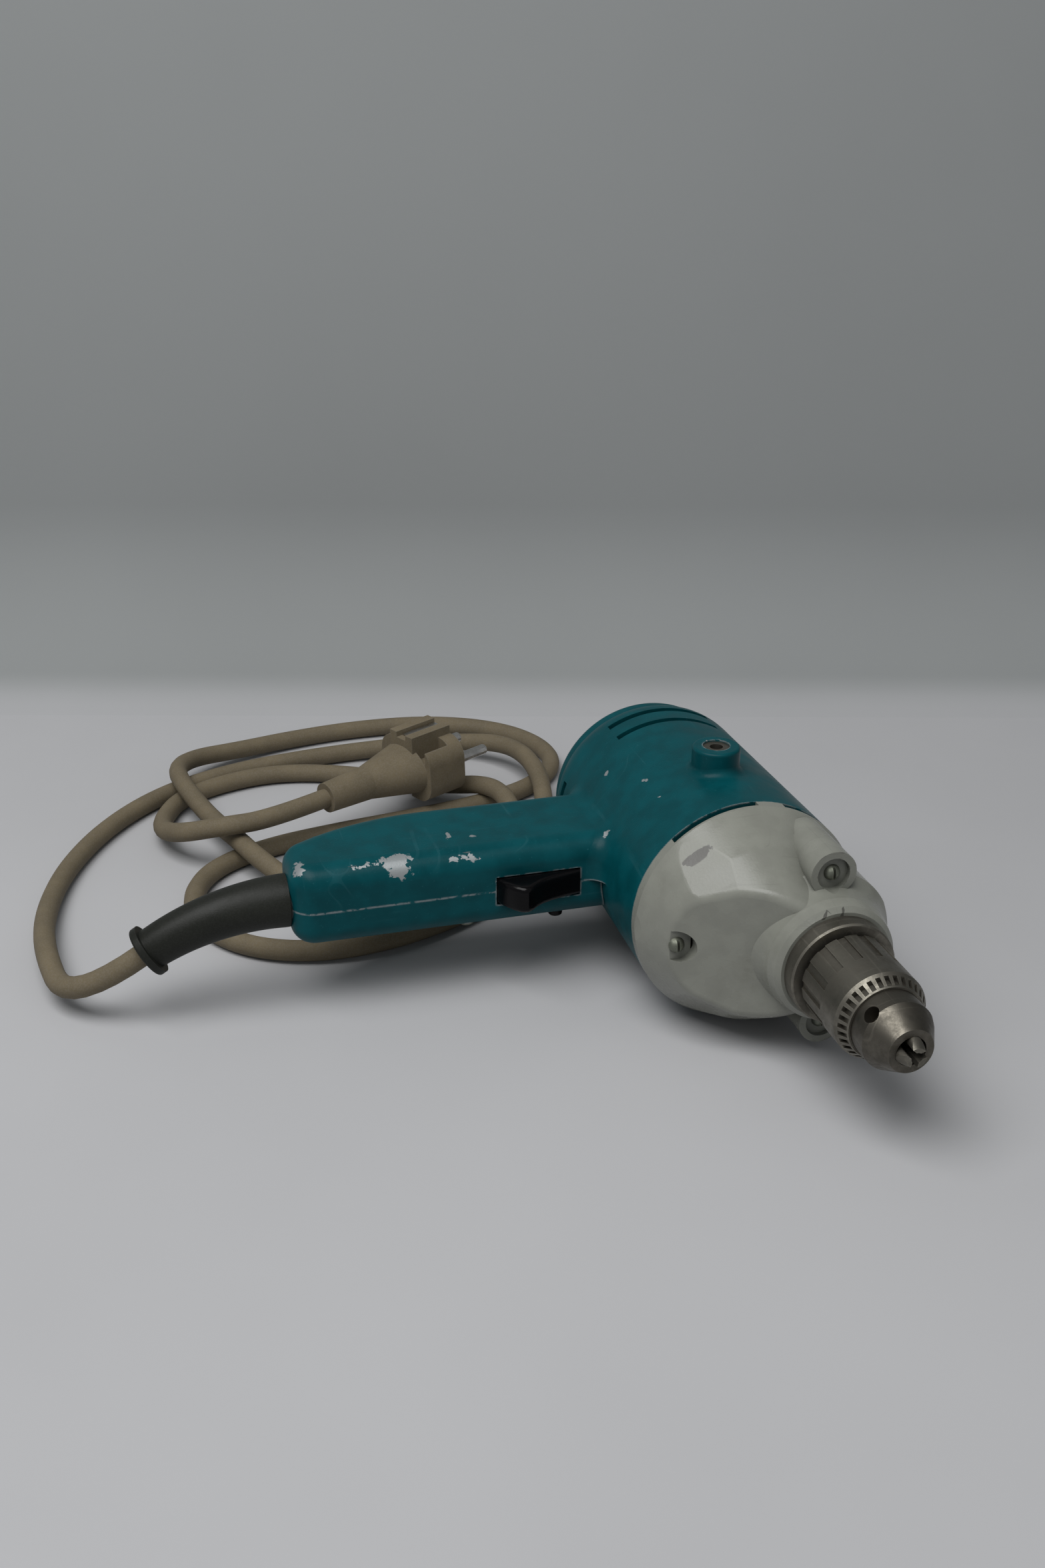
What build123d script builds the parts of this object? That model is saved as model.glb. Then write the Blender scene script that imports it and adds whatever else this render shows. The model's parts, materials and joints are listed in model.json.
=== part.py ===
"""Corded pistol-grip drill lying on its left side, with its cord and plug, in millimetres.

The row frame has +Z up from the floor, the chuck towards -Y and the grip towards -X.
Pieces are placed by three values: u from the motor axis towards the drill's top (+X), a station s
from the joint of the two housings towards the rear (+Y), and w from the mid plane towards the
drill's right side (+Z).
"""

import math
import os

from build123d import *

os.makedirs("parts", exist_ok=True)

# Clearances
running_gap = 0.03
seat_gap = 0.02
slide_gap = 0.35
case_gap = 0.2

# Housings
flange_radius = 42.5
drum_rear_radius = 41.4
drum_length = 105.0
drum_shoulder = drum_length - 10.0
drum_taper_length = drum_shoulder - 4.0
drum_wall = 4.2
rear_rim_radius = 38.8
rear_cover_thickness = 8.0
rear_cover_radius = 38.2
gear_case_length = 47.6
gear_case_wall = 4.0
rim_length = 4.0
crease_station = -20.8
crease_radius = flange_radius - 7.7
cone_tip_station = -76.0
face_station = -39.8
face_slope = 0.585
face_fillet = 4.0
cheek_place = (11.5 - flange_radius, 17.5)
cheek_facing = (-0.557, -0.473, 0.683)
chin_front = 5.0 - flange_radius
nose_radius = 23.3
nose_base_radius = 28.0
nose_base_station = -31.0
nose_sweep = (24.6, -36.0)
nose_station = -42.0
notch_depth = 3.0
notch_spans = ((26.0, 72.0), (86.0, 132.0), (-72.0, -26.0), (-132.0, -86.0))

# Bearing plate
plate_thickness = 8.0
plate_bore = flange_radius - 4.5

# Gear train
spindle_offset = 15.6
first_module = 0.9
second_module = 1.0
motor_pinion_teeth = 8
counter_gear_teeth = 30
counter_pinion_teeth = 10
spindle_gear_teeth = 30
pressure_angle = math.radians(28.0)
addendum = 0.8
dedendum = 1.05
backlash = 0.09
first_gear_width = 8.0
second_gear_width = 10.0
gear_gap = 1.5

# Spindle and its bearings
spindle_radius = 7.0
spindle_rear_radius = 4.5
spindle_neck_radius = 5.0
spindle_thread_radius = 5.0
spindle_bush_wall = 3.5
rear_bush_wall = 2.0
collar_radius = 19.3
collar_length = 6.3
collar_spigot_radius = 14.0
collar_spigot_length = 4.6
washer_radius = 11.0
washer_thickness = 2.1
counter_radius = 3.0
counter_bush_wall = 1.5
counter_bush_length = 7.0

# Chuck
chuck_gap = 1.1
sleeve_radius = 16.5
sleeve_length = 26.0
tooth_ring_length = 5.0
tooth_ring_front_radius = 13.6
chuck_tooth_count = 32
flute_count = 14
flute_length = 15.5
chuck_nose_length = 17.0
chuck_nose_radius = 12.8
chuck_mouth_radius = 5.3
chuck_body_radius = 12.0
key_hole_radius = 3.0
key_hole_setback = 6.0
key_hole_angle = 137.0
jaw_reach = 4.0
jaw_radius = 2.3
jaw_length = 30.0
jaw_lean = math.radians(10.0)
jaw_tip_offset = 2.6
jaw_flank_gap = 1.2
grip_radius = 2.0

# Motor
armature_radius = 21.4
air_gap = 0.6
web_start = drum_length - 19.0
commutator_start = web_start - 18.0
core_start = 19.0
core_length = commutator_start - core_start - 9.0
field_radius = 36.0
shaft_radius = 4.0
shaft_front_radius = 1.8
shaft_rear_radius = 3.5
slot_count = 12
slot_width = 3.2
slot_floor = 12.0
commutator_radius = 12.0
commutator_length = 12.0
fan_radius = 28.0
fan_start = 2.5
fan_length = 8.0
fan_blades = 10
front_bearing_radius = 8.0
front_bearing_width = 7.0
rear_bearing_radius = 9.5
rear_bearing_width = 6.0
brush_width = 5.0
brush_depth = 7.0
brush_length = 14.0

# Side handle boss, vents and top plate
boss_u = 0.5
boss_station = 33.0
boss_radius = 9.0
boss_top = 51.0
boss_hole_depth = 8.0
insert_radius = 5.0
insert_setback = 0.6
thread_radius = 2.5
vent_stations = (drum_length - 22.0, drum_length - 11.0)
vent_width = 3.2
vent_reach = 21.0
top_plate_start = 3.0
top_plate_length = 24.0
top_plate_half_width = 17.0
top_plate_thickness = 0.8

# Grip
grip_reach = 159.5
grip_front = 35.7
grip_rear = 82.0
grip_butt_depth = 28.0
grip_right = 17.0
grip_left = 15.0
grip_wall = 3.5
grip_edge_fillet = 8.0
grip_corner_fillet = 9.0
grip_blend = 7.0

# Trigger, switch and lock button
trigger_top = 51.0
trigger_bottom = 83.0
trigger_half_width = 5.4
trigger_tip_u = -73.0
trigger_proud = 11.0
trigger_travel = 5.0
trigger_flange = 3.0
trigger_stop_gap = 0.3
lock_u = -56.5
lock_radius = 2.75
lock_collar = 1.2
trigger_pulled = grip_front + grip_wall + trigger_stop_gap + trigger_travel
lock_station = trigger_pulled + slide_gap + lock_collar + lock_radius
lock_travel = 3.5
lock_proud = lock_travel + 1.5
switch_size = (28.0, 20.0, 17.0)

# Fasteners
case_screw_places = ((-32.5, 0.0), (17.5, 29.5), (17.5, -29.5))
case_screw_radius = 2.0
case_screw_head = 4.0
cover_screw_places = ((-93.5, 43.0), (-99.5, 74.0), (-144.5, 64.0))
cover_screw_radius = 1.5
cover_screw_head = 3.2
rear_screw_pitch = 25.0
rear_screw_radius = 1.9
post_radius = 4.3

# Cord, boot and plug
cord_radius = 4.25
cord_station = 50.0
cord_bore_gap = 0.12
boot_neck_radius = 8.5
boot_base_radius = 10.0
boot_end_radius = 7.6
boot_rim_radius = 10.0
boot_rim_length = 3.0
boot_straight = 2.0
boot_span = 51.0
boot_droop = math.radians(32.0)
boot_flange = 3.2
plug_place = (-66.0, 173.0, 23.2)
plug_direction = (0.9, 0.43, 0.04)
plug_sleeve_radius = 6.8
plug_sleeve_length = 22.0
plug_taper_length = 23.0
plug_head_length = 20.0
plug_half_width = 18.0
plug_half_height = 13.5
plug_pin_radius = 2.4
plug_pin_length = 19.0
plug_pin_pitch = 19.0

# Stations along the axis, worked out from the lengths
nose_face = -gear_case_length
collar_face = nose_face - collar_length
chuck_back = collar_face - chuck_gap
sleeve_front = chuck_back - sleeve_length
ring_front = sleeve_front - tooth_ring_length
chuck_front = ring_front - chuck_nose_length
jaw_tip = chuck_front - jaw_reach
rear_face = drum_length + rear_cover_thickness

# Row frame: the box of the drill without its cord is centred on the origin and stands on the floor
motor_x = (grip_reach - flange_radius) / 2
flange_y = -(jaw_tip + rear_face) / 2
motor_z = flange_radius

# Gear centres
first_centres = first_module * (motor_pinion_teeth + counter_gear_teeth) / 2
second_centres = second_module * (counter_pinion_teeth + spindle_gear_teeth) / 2
counter_u = (first_centres**2 - second_centres**2 + spindle_offset**2) / (2 * spindle_offset)
counter_w = math.sqrt(first_centres**2 - counter_u**2)
counter_turn = math.atan2(counter_w, counter_u)
spindle_turn = math.atan2(-counter_w, spindle_offset - counter_u)
first_gear_rear = -plate_thickness - gear_gap
first_gear_front = first_gear_rear - first_gear_width
second_gear_rear = first_gear_front - gear_gap
second_gear_front = second_gear_rear - second_gear_width
pocket_front = second_gear_front - washer_thickness - gear_gap / 2


def station(s, u=0.0, w=0.0):
    """Plane across the axis: local x is u, local y is w, and extruding goes towards the chuck."""
    return Plane(origin=(motor_x + u, flange_y + s, motor_z + w), x_dir=(1, 0, 0), z_dir=(0, -1, 0))


def level(w):
    """Plane along the axis at a height w: local x is u, local y is the station."""
    return Plane(origin=(motor_x, flange_y, motor_z + w))


def turn(outline, u=0.0, w=0.0, mode=Mode.ADD):
    """Revolves (radius, station) points about the line parallel to the motor axis at (u, w)."""
    origin = (motor_x + u, flange_y, motor_z + w)
    with BuildSketch(Plane(origin=origin)) as profile:
        with BuildLine():
            Polyline(*outline, close=True)
        make_face()
    revolve(profile.sketch, axis=Axis(origin, (0, 1, 0)), mode=mode)


def ring(inner, outer, front, rear, u=0.0, w=0.0, mode=Mode.ADD):
    """Turned ring or, with no inner radius, a bar between two stations."""
    turn([(inner, front), (outer, front), (outer, rear), (inner, rear)], u, w, mode)


def block(u_span, s_span, w_span, mode=Mode.ADD):
    """Box between pairs of u, station and w."""
    with BuildSketch(level(w_span[0])) as profile:
        with Locations(((u_span[0] + u_span[1]) / 2, (s_span[0] + s_span[1]) / 2)):
            Rectangle(u_span[1] - u_span[0], s_span[1] - s_span[0])
    extrude(profile.sketch, amount=w_span[1] - w_span[0], mode=mode)


def post(radius, u, s, low, high, mode=Mode.ADD):
    """Round bar along w between two heights."""
    with BuildSketch(level(low)) as profile:
        with Locations((u, s)):
            Circle(radius)
    extrude(profile.sketch, amount=high - low, mode=mode)


def drum_radius(s):
    """Outer radius of the motor housing at a station of its taper."""
    return flange_radius + (drum_rear_radius - flange_radius) * s / drum_taper_length


def involute(radius, base):
    """Involute angle of a gear flank at a radius."""
    angle = math.acos(min(1.0, base / radius))
    return math.tan(angle) - angle


def gear(teeth, module, first_tooth, bore, rear, width, u=0.0, w=0.0):
    """Spur gear with involute flanks, one tooth centred on the angle first_tooth."""
    pitch = module * teeth / 2
    base = pitch * math.cos(pressure_angle)
    tip = pitch + addendum * module
    root = pitch - dedendum * module
    foot = max(base, root)
    half = math.pi / (2 * teeth) - backlash / (2 * pitch) + involute(pitch, base)
    angles = [half - involute(r, base) for r in (foot, (foot + tip) / 2, tip)]

    def point(r, angle):
        return (r * math.cos(angle), r * math.sin(angle))

    with BuildSketch(station(rear, u, w)) as profile:
        with BuildLine():
            for tooth in range(teeth):
                middle = first_tooth + 2 * math.pi * tooth / teeth
                following = middle + 2 * math.pi / teeth
                rise = [point(r, middle - a) for r, a in zip((foot, (foot + tip) / 2, tip), angles)]
                fall = [point(r, middle + a) for r, a in zip((foot, (foot + tip) / 2, tip), angles)]
                left = point(root, middle - angles[0])
                right = point(root, middle + angles[0])
                if foot > root:
                    Line(left, rise[0])
                ThreePointArc(*rise)
                ThreePointArc(rise[2], point(tip, middle), fall[2])
                ThreePointArc(*reversed(fall))
                if foot > root:
                    Line(fall[0], right)
                gap_middle = middle + math.pi / teeth
                ThreePointArc(right, point(root, gap_middle), point(root, following - angles[0]))
        make_face()
        Circle(bore, mode=Mode.SUBTRACT)
    extrude(profile.sketch, amount=width)


def screw(place_u, place_w, head_front, head_radius, head_length, radius, end):
    """Pan-head slotted screw along the axis, its head towards the chuck."""
    head_rear = head_front + head_length
    crown = head_front + head_length * 0.4
    outline = [(0, head_front), (head_radius * 0.6, head_front), (head_radius, crown)]
    outline += [(head_radius, head_rear), (radius, head_rear), (radius, end), (0, end)]
    turn(outline, place_u, place_w)
    slot_half = head_radius * 0.14
    block(
        (place_u - head_radius - 1, place_u + head_radius + 1),
        (head_front - 1, head_front + head_length * 0.45),
        (place_w - slot_half, place_w + slot_half),
        Mode.SUBTRACT,
    )


# Motor housing and grip, first as one closed form
rear_shoulder = (drum_rear_radius, drum_shoulder)

with BuildPart() as drum:
    with BuildSketch(level(0)):
        with BuildLine():
            Polyline(
                (0, drum_length),
                (0, 0),
                (flange_radius, 0),
                (drum_rear_radius, drum_taper_length),
                rear_shoulder,
            )
            TangentArc(rear_shoulder, (rear_rim_radius, drum_length), tangent=(0, 1))
            Line((rear_rim_radius, drum_length), (0, drum_length))
        make_face()
    revolve(axis=Axis((motor_x, flange_y, motor_z), (0, 1, 0)))


def grip_outline(inset):
    """Side outline of the grip, from inside the drum to the butt, drawn in by an inset."""
    butt_rear = (-grip_reach, grip_front + grip_butt_depth)
    bend = (-0.64 * grip_reach, grip_rear)
    root = -drum_rear_radius / 2
    with BuildSketch() as outline:
        with BuildLine():
            Polyline(butt_rear, (-grip_reach, grip_front), (root, grip_front), (root, grip_rear), bend)
            TangentArc(bend, butt_rear, tangent=(-1, 0))
        make_face()
        fillet(outline.vertices().group_by(Axis.X)[0], radius=grip_corner_fillet)
        if inset > 0:
            offset(amount=-inset)
    return outline.sketch


with BuildPart() as grip:
    with BuildSketch(level(-grip_left)):
        add(grip_outline(0))
    extrude(amount=grip_left + grip_right)
    root_edges = grip.faces().sort_by(Axis.X)[-1].edges()
    for face in (grip.faces().sort_by(Axis.Z)[-1], grip.faces().sort_by(Axis.Z)[0]):
        fillet([e for e in face.edges() if e not in root_edges], radius=grip_edge_fillet)

with BuildPart() as casing:
    add(drum.part)
    add(grip.part)
    fillet(casing.edges(Select.NEW), radius=grip_blend)

# Hollows of the drum and of the grip
inner_front = flange_radius - drum_wall
inner_rear = drum_rear_radius - drum_wall
rear_mouth = rear_rim_radius - drum_wall

with BuildPart() as drum_hollow:
    turn([
        (0, -1),
        (inner_front, -1),
        (inner_front, 0),
        (inner_rear, drum_taper_length),
        (inner_rear, drum_shoulder - 2),
        (rear_mouth, drum_shoulder + 2),
        (rear_mouth, drum_length + 1),
        (0, drum_length + 1),
    ])

with BuildPart() as grip_hollow:
    with BuildSketch(level(grip_wall - grip_left)):
        add(grip_outline(grip_wall))
    extrude(amount=grip_left + grip_right - 2 * grip_wall)
    add(drum.part, mode=Mode.SUBTRACT)

# Everything left of the mid plane and outside the drum belongs to the grip cover
with BuildPart() as cover_side:
    block((-grip_reach - 5, -drum_rear_radius / 4), (0, drum_length), (-flange_radius, 0))
    add(drum.part, mode=Mode.SUBTRACT)


def trigger_window():
    """Opening for the trigger through the front wall of the grip."""
    block(
        (-trigger_bottom - slide_gap, -trigger_top + slide_gap),
        (grip_front - 6, grip_front + grip_wall + 1),
        (-trigger_half_width - slide_gap, trigger_half_width + slide_gap),
        Mode.SUBTRACT,
    )


def along_grip(radius, s, w, high, low, mode=Mode.ADD):
    """Round bar along u between two places, high first."""
    origin = (motor_x + high, flange_y + s, motor_z + w)
    with BuildSketch(Plane(origin=origin, x_dir=(0, 1, 0), z_dir=(-1, 0, 0))) as profile:
        Circle(radius)
    extrude(profile.sketch, amount=high - low, mode=mode)


def cord_hole():
    """Round opening through the end of the grip for the neck of the boot."""
    inside = -grip_reach + grip_wall + 2
    along_grip(boot_neck_radius + 0.05, cord_station, 0, inside, -grip_reach - 2, Mode.SUBTRACT)


def notches(front, rear):
    """Cooling air openings around the joint of the housings."""
    with BuildSketch(station(rear)) as cut:
        for first, last in notch_spans:
            edge = [math.radians(first + (last - first) * i / 4) for i in range(5)]
            reach = 1.4 * flange_radius
            with BuildLine():
                Polyline((0, 0), *[(reach * math.cos(a), reach * math.sin(a)) for a in edge], close=True)
            make_face()
    extrude(cut.sketch, amount=rear - front, mode=Mode.SUBTRACT)


# Motor housing with the right half of the grip
spigot_length = 3.2
case_post_length = 12.0
case_screw_end = 10.0
cover_post_radius = 3.6
cover_screw_end = 9.0
clamp_u = -136.5
clamp_pitch = 15.0
clamp_post_radius = 3.2
clamp_screw_radius = 1.5
rear_bearing_lip = 0.3
switch_place = (-67.5, 64.0)
switch_half = switch_size[2] / 2
rivet_stations = (top_plate_start + 3, top_plate_start + top_plate_length - 3)
rivet_radius = 1.4

with BuildPart() as motor_housing:
    add(casing.part)
    post(boss_radius, boss_u, boss_station, 36, boss_top)
    fillet(motor_housing.edges(Select.NEW), radius=3)
    fillet(motor_housing.faces().sort_by(Axis.Z)[-1].edges(), radius=1.2)
    add(drum_hollow.part, mode=Mode.SUBTRACT)
    add(grip_hollow.part, mode=Mode.SUBTRACT)
    add(cover_side.part, mode=Mode.SUBTRACT)
    boss_floor = boss_top - boss_hole_depth
    post(insert_radius + seat_gap, boss_u, boss_station, boss_floor, boss_top + 1, Mode.SUBTRACT)
    ring(plate_bore - 3, plate_bore - 0.1, -spigot_length, 0)
    ring(plate_bore - 3, inner_front + 0.5, 0, 3)
    notches(-spigot_length - 1, 0)
    with BuildSketch(station(core_start + core_length)):
        rib_end = inner_front + 0.5
        with PolarLocations((field_radius + seat_gap + rib_end) / 2, 4, start_angle=45):
            Rectangle(rib_end - field_radius - seat_gap, 7)
    extrude(amount=core_length)
    with BuildSketch(station(case_post_length)):
        for place_u, place_w in case_screw_places:
            reach = math.hypot(place_u, place_w)
            with Locations((place_u, place_w)):
                Circle(post_radius)
            heading = math.degrees(math.atan2(place_w, place_u))
            with PolarLocations((reach + inner_front) / 2, 1, start_angle=heading):
                Rectangle(inner_front - reach, 1.6 * post_radius)
    extrude(amount=case_post_length)
    for place_u, place_w in case_screw_places:
        ring(0, case_screw_radius, -1, case_screw_end, place_u, place_w, Mode.SUBTRACT)
    ring(6.5, inner_rear + 0.5, web_start, web_start + rear_bearing_width + rear_bearing_lip)
    web_seat = web_start + rear_bearing_width
    ring(0, rear_bearing_radius + seat_gap, web_start - 1, web_seat, mode=Mode.SUBTRACT)
    with BuildSketch(station(web_start + 2 * rear_bearing_width)):
        with PolarLocations(24, 4, start_angle=45):
            Circle(8)
    extrude(amount=2 * rear_bearing_width + 1, mode=Mode.SUBTRACT)
    for side in (-1, 1):
        ring(0, post_radius, web_start, drum_length - 0.1, 0, side * rear_screw_pitch)
        ring(0, rear_screw_radius, web_start + 6, drum_length, 0, side * rear_screw_pitch, Mode.SUBTRACT)
        for vent in vent_stations:
            span = sorted((side * 31, side * 60))
            half = vent_width / 2
            block((-vent_reach, vent_reach), (vent - half, vent + half), span, Mode.SUBTRACT)
    lower_vent = (vent_stations[1] - vent_width / 2, vent_stations[1] + vent_width / 2)
    block((-60, -31), lower_vent, (-14, 14), Mode.SUBTRACT)
    block((-50, -30), (60, 68), (0.5, 8), Mode.SUBTRACT)
    trigger_window()
    cord_hole()
    for place_u, place_s in cover_screw_places:
        post(cover_post_radius, place_u, place_s, 0, grip_right - 1)
        post(cover_screw_radius, place_u, place_s, -1, cover_screw_end, Mode.SUBTRACT)
    for side in (-1, 1):
        clamp_s = cord_station + side * clamp_pitch / 2
        post(clamp_post_radius, clamp_u, clamp_s, -cord_radius - 0.05, grip_right - 1)
        post(clamp_screw_radius, clamp_u, clamp_s, -cord_radius - 1, 6, Mode.SUBTRACT)
    block((switch_place[0] - 6, switch_place[0] + 6), (58, 70), (switch_half, grip_right - 1))
    for rivet in rivet_stations:
        along_grip(rivet_radius, rivet, 0, flange_radius + 2, inner_front - 6, Mode.SUBTRACT)
motor_housing.part.label = "motor_housing"
export_step(motor_housing.part, "parts/motor_housing.step")

# Threaded insert for a side handle
with BuildPart() as handle_insert:
    post(insert_radius, boss_u, boss_station, boss_floor, boss_top - insert_setback)
    post(thread_radius, boss_u, boss_station, boss_floor - 1, boss_top, Mode.SUBTRACT)
handle_insert.part.label = "handle_insert"
export_step(handle_insert.part, "parts/handle_insert.step")

# Left half of the grip
with BuildPart() as handle_cover:
    add(grip.part)
    block((-grip_reach - 5, -drum_rear_radius / 4), (0, drum_length), (-flange_radius, 0), Mode.INTERSECT)
    turn([
        (0, -1),
        (flange_radius + case_gap, -1),
        (flange_radius + case_gap, 0),
        (drum_rear_radius + case_gap, drum_taper_length),
        (drum_rear_radius + case_gap, drum_length + 1),
        (0, drum_length + 1),
    ], mode=Mode.SUBTRACT)
    add(grip_hollow.part, mode=Mode.SUBTRACT)
    trigger_window()
    cord_hole()
    for place_u, place_s in cover_screw_places:
        post(cover_post_radius, place_u, place_s, 1 - grip_left, 0)
        post(cover_screw_radius + case_gap, place_u, place_s, -grip_left - 1, 1, Mode.SUBTRACT)
        post(cover_screw_head + case_gap, place_u, place_s, -grip_left - 1, 2.4 - grip_left, Mode.SUBTRACT)
    post(lock_radius + 0.1, lock_u, lock_station, -grip_left - 1, 0, Mode.SUBTRACT)
handle_cover.part.label = "handle_cover"
export_step(handle_cover.part, "parts/handle_cover.step")

with BuildPart() as handle_cover_screws:
    for place_u, place_s in cover_screw_places:
        post(cover_screw_head, place_u, place_s, 0.2 - grip_left, 2.4 - grip_left)
        post(cover_screw_radius, place_u, place_s, 2.4 - grip_left, cover_screw_end)
        block(
            (place_u - cover_screw_head - 1, place_u + cover_screw_head + 1),
            (place_s - 0.45, place_s + 0.45),
            (-grip_left, 1.2 - grip_left),
            Mode.SUBTRACT,
        )
handle_cover_screws.part.label = "handle_cover_screws"
export_step(handle_cover_screws.part, "parts/handle_cover_screws.step")

# Rear cover and its screws
with BuildPart() as rear_cover:
    ring(0, rear_cover_radius, drum_length, rear_face)
    fillet(rear_cover.edges().group_by(Axis.Y)[-1], radius=4)
    ring(rear_mouth - 3, rear_mouth - 0.05, drum_length - 4, drum_length)
    for side in (-1, 1):
        place = side * rear_screw_pitch
        ring(0, rear_screw_radius + case_gap, drum_length - 1, rear_face + 1, 0, place, Mode.SUBTRACT)
        ring(0, 4, rear_face - 2.6, rear_face + 1, 0, place, Mode.SUBTRACT)
rear_cover.part.label = "rear_cover"
export_step(rear_cover.part, "parts/rear_cover.step")

with BuildPart() as rear_cover_screws:
    for side in (-1, 1):
        place = side * rear_screw_pitch
        ring(0, 3.7, rear_face - 2.6, rear_face - 0.2, 0, place)
        ring(0, rear_screw_radius, web_start + 8, rear_face - 2.6, 0, place)
        block((-5, 5), (rear_face - 1.3, rear_face), (place - 0.5, place + 0.5), Mode.SUBTRACT)
rear_cover_screws.part.label = "rear_cover_screws"
export_step(rear_cover_screws.part, "parts/rear_cover_screws.step")

# Curved plate on top of the motor housing, with two rivets
plate_end = top_plate_start + top_plate_length
with BuildPart() as top_plate:
    turn([
        (drum_radius(top_plate_start) + seat_gap, top_plate_start),
        (drum_radius(top_plate_start) + top_plate_thickness, top_plate_start),
        (drum_radius(plate_end) + top_plate_thickness, plate_end),
        (drum_radius(plate_end) + seat_gap, plate_end),
    ])
    block((20, 60), (0, plate_end + 5), (-top_plate_half_width, top_plate_half_width), Mode.INTERSECT)
    for rivet in rivet_stations:
        along_grip(rivet_radius, rivet, 0, flange_radius + 2, inner_front, Mode.SUBTRACT)
top_plate.part.label = "top_plate"
export_step(top_plate.part, "parts/top_plate.step")

with BuildPart() as top_plate_rivets:
    for rivet in rivet_stations:
        seat = drum_radius(rivet) + top_plate_thickness + 0.2
        along_grip(rivet_radius, rivet, 0, seat, inner_front - 2)
        along_grip(2.4, rivet, 0, seat + 0.8, seat)
top_plate_rivets.part.label = "top_plate_rivets"
export_step(top_plate_rivets.part, "parts/top_plate_rivets.step")


# Gear housing: a bell, cut by a slanting face and flats around it, with a round nose about the spindle
def face_plane(setback):
    """Slanting front face of the bell, moved back by a setback."""
    origin = (motor_x, flange_y + face_station + setback, motor_z)
    return Plane(origin=origin, x_dir=(0, 0, 1), z_dir=(-face_slope, -1, 0))


def cheek_plane(side, setback):
    """Flat beside the slanting face, moved in by a setback."""
    facing = Vector(cheek_facing[0], cheek_facing[1], side * cheek_facing[2]).normalized()
    place_u, place_w = cheek_place
    place_s = face_station - face_slope * place_u
    origin = Vector(motor_x + place_u, flange_y + place_s, motor_z + side * place_w)
    return Plane(origin=origin - facing * setback, z_dir=facing)


def chin_plane():
    """Flat under the slanting face, on the side of the grip."""
    front = (chin_front, face_station - face_slope * chin_front)
    rear = (1.7 - flange_radius, -plate_thickness)
    facing = Vector(front[1] - rear[1], rear[0] - front[0], 0)
    return Plane(origin=(motor_x + front[0], flange_y + front[1], motor_z), z_dir=facing)


def cone_radius(s):
    """Outer radius of the front cone of the bell at a station."""
    return crease_radius * (s - cone_tip_station) / (crease_station - cone_tip_station)


bush_front = nose_face + collar_spigot_length
ear_front = -36.5
ear_radius = 8.5
face_screw_floor = face_station + face_slope * -case_screw_places[0][0] + 1.5
ear_screw_floor = ear_front + 2.0
screw_floors = (face_screw_floor, ear_screw_floor, ear_screw_floor)
inner_post_radius = 3.4
slant_drop = gear_case_wall * math.hypot(1, face_slope)
counter_pocket_front = second_gear_front - 1.0
counter_hole_front = counter_pocket_front - counter_bush_length

with BuildPart() as gear_cavity:
    turn([
        (0, -plate_thickness),
        (plate_bore - gear_case_wall, -plate_thickness),
        (crease_radius - 1.1 * gear_case_wall, crease_station + 1.3),
        (cone_radius(pocket_front) - 1.3 * gear_case_wall, pocket_front),
        (0, pocket_front),
    ])
    for plane in (face_plane(slant_drop), cheek_plane(1, gear_case_wall), cheek_plane(-1, gear_case_wall)):
        split(bisect_by=plane, keep=Keep.BOTTOM)

with BuildPart() as nose_form:
    with BuildSketch(Plane(origin=(motor_x + spindle_offset, flange_y, motor_z))):
        with BuildLine():
            nose_base = (nose_base_radius, nose_base_station)
            nose_end = (nose_radius, nose_station)
            Polyline((0, -rim_length), (nose_base_radius, -rim_length), nose_base)
            ThreePointArc(nose_base, nose_sweep, nose_end)
            Polyline(
                nose_end,
                (nose_radius - 1.0, nose_face + 1.6),
                (nose_radius - 2.8, nose_face),
                (0, nose_face),
                (0, -rim_length),
            )
        make_face()
    revolve(axis=Axis((motor_x + spindle_offset, flange_y, motor_z), (0, 1, 0)))
    ring(0, flange_radius, nose_face - 1, 0, mode=Mode.INTERSECT)

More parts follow.
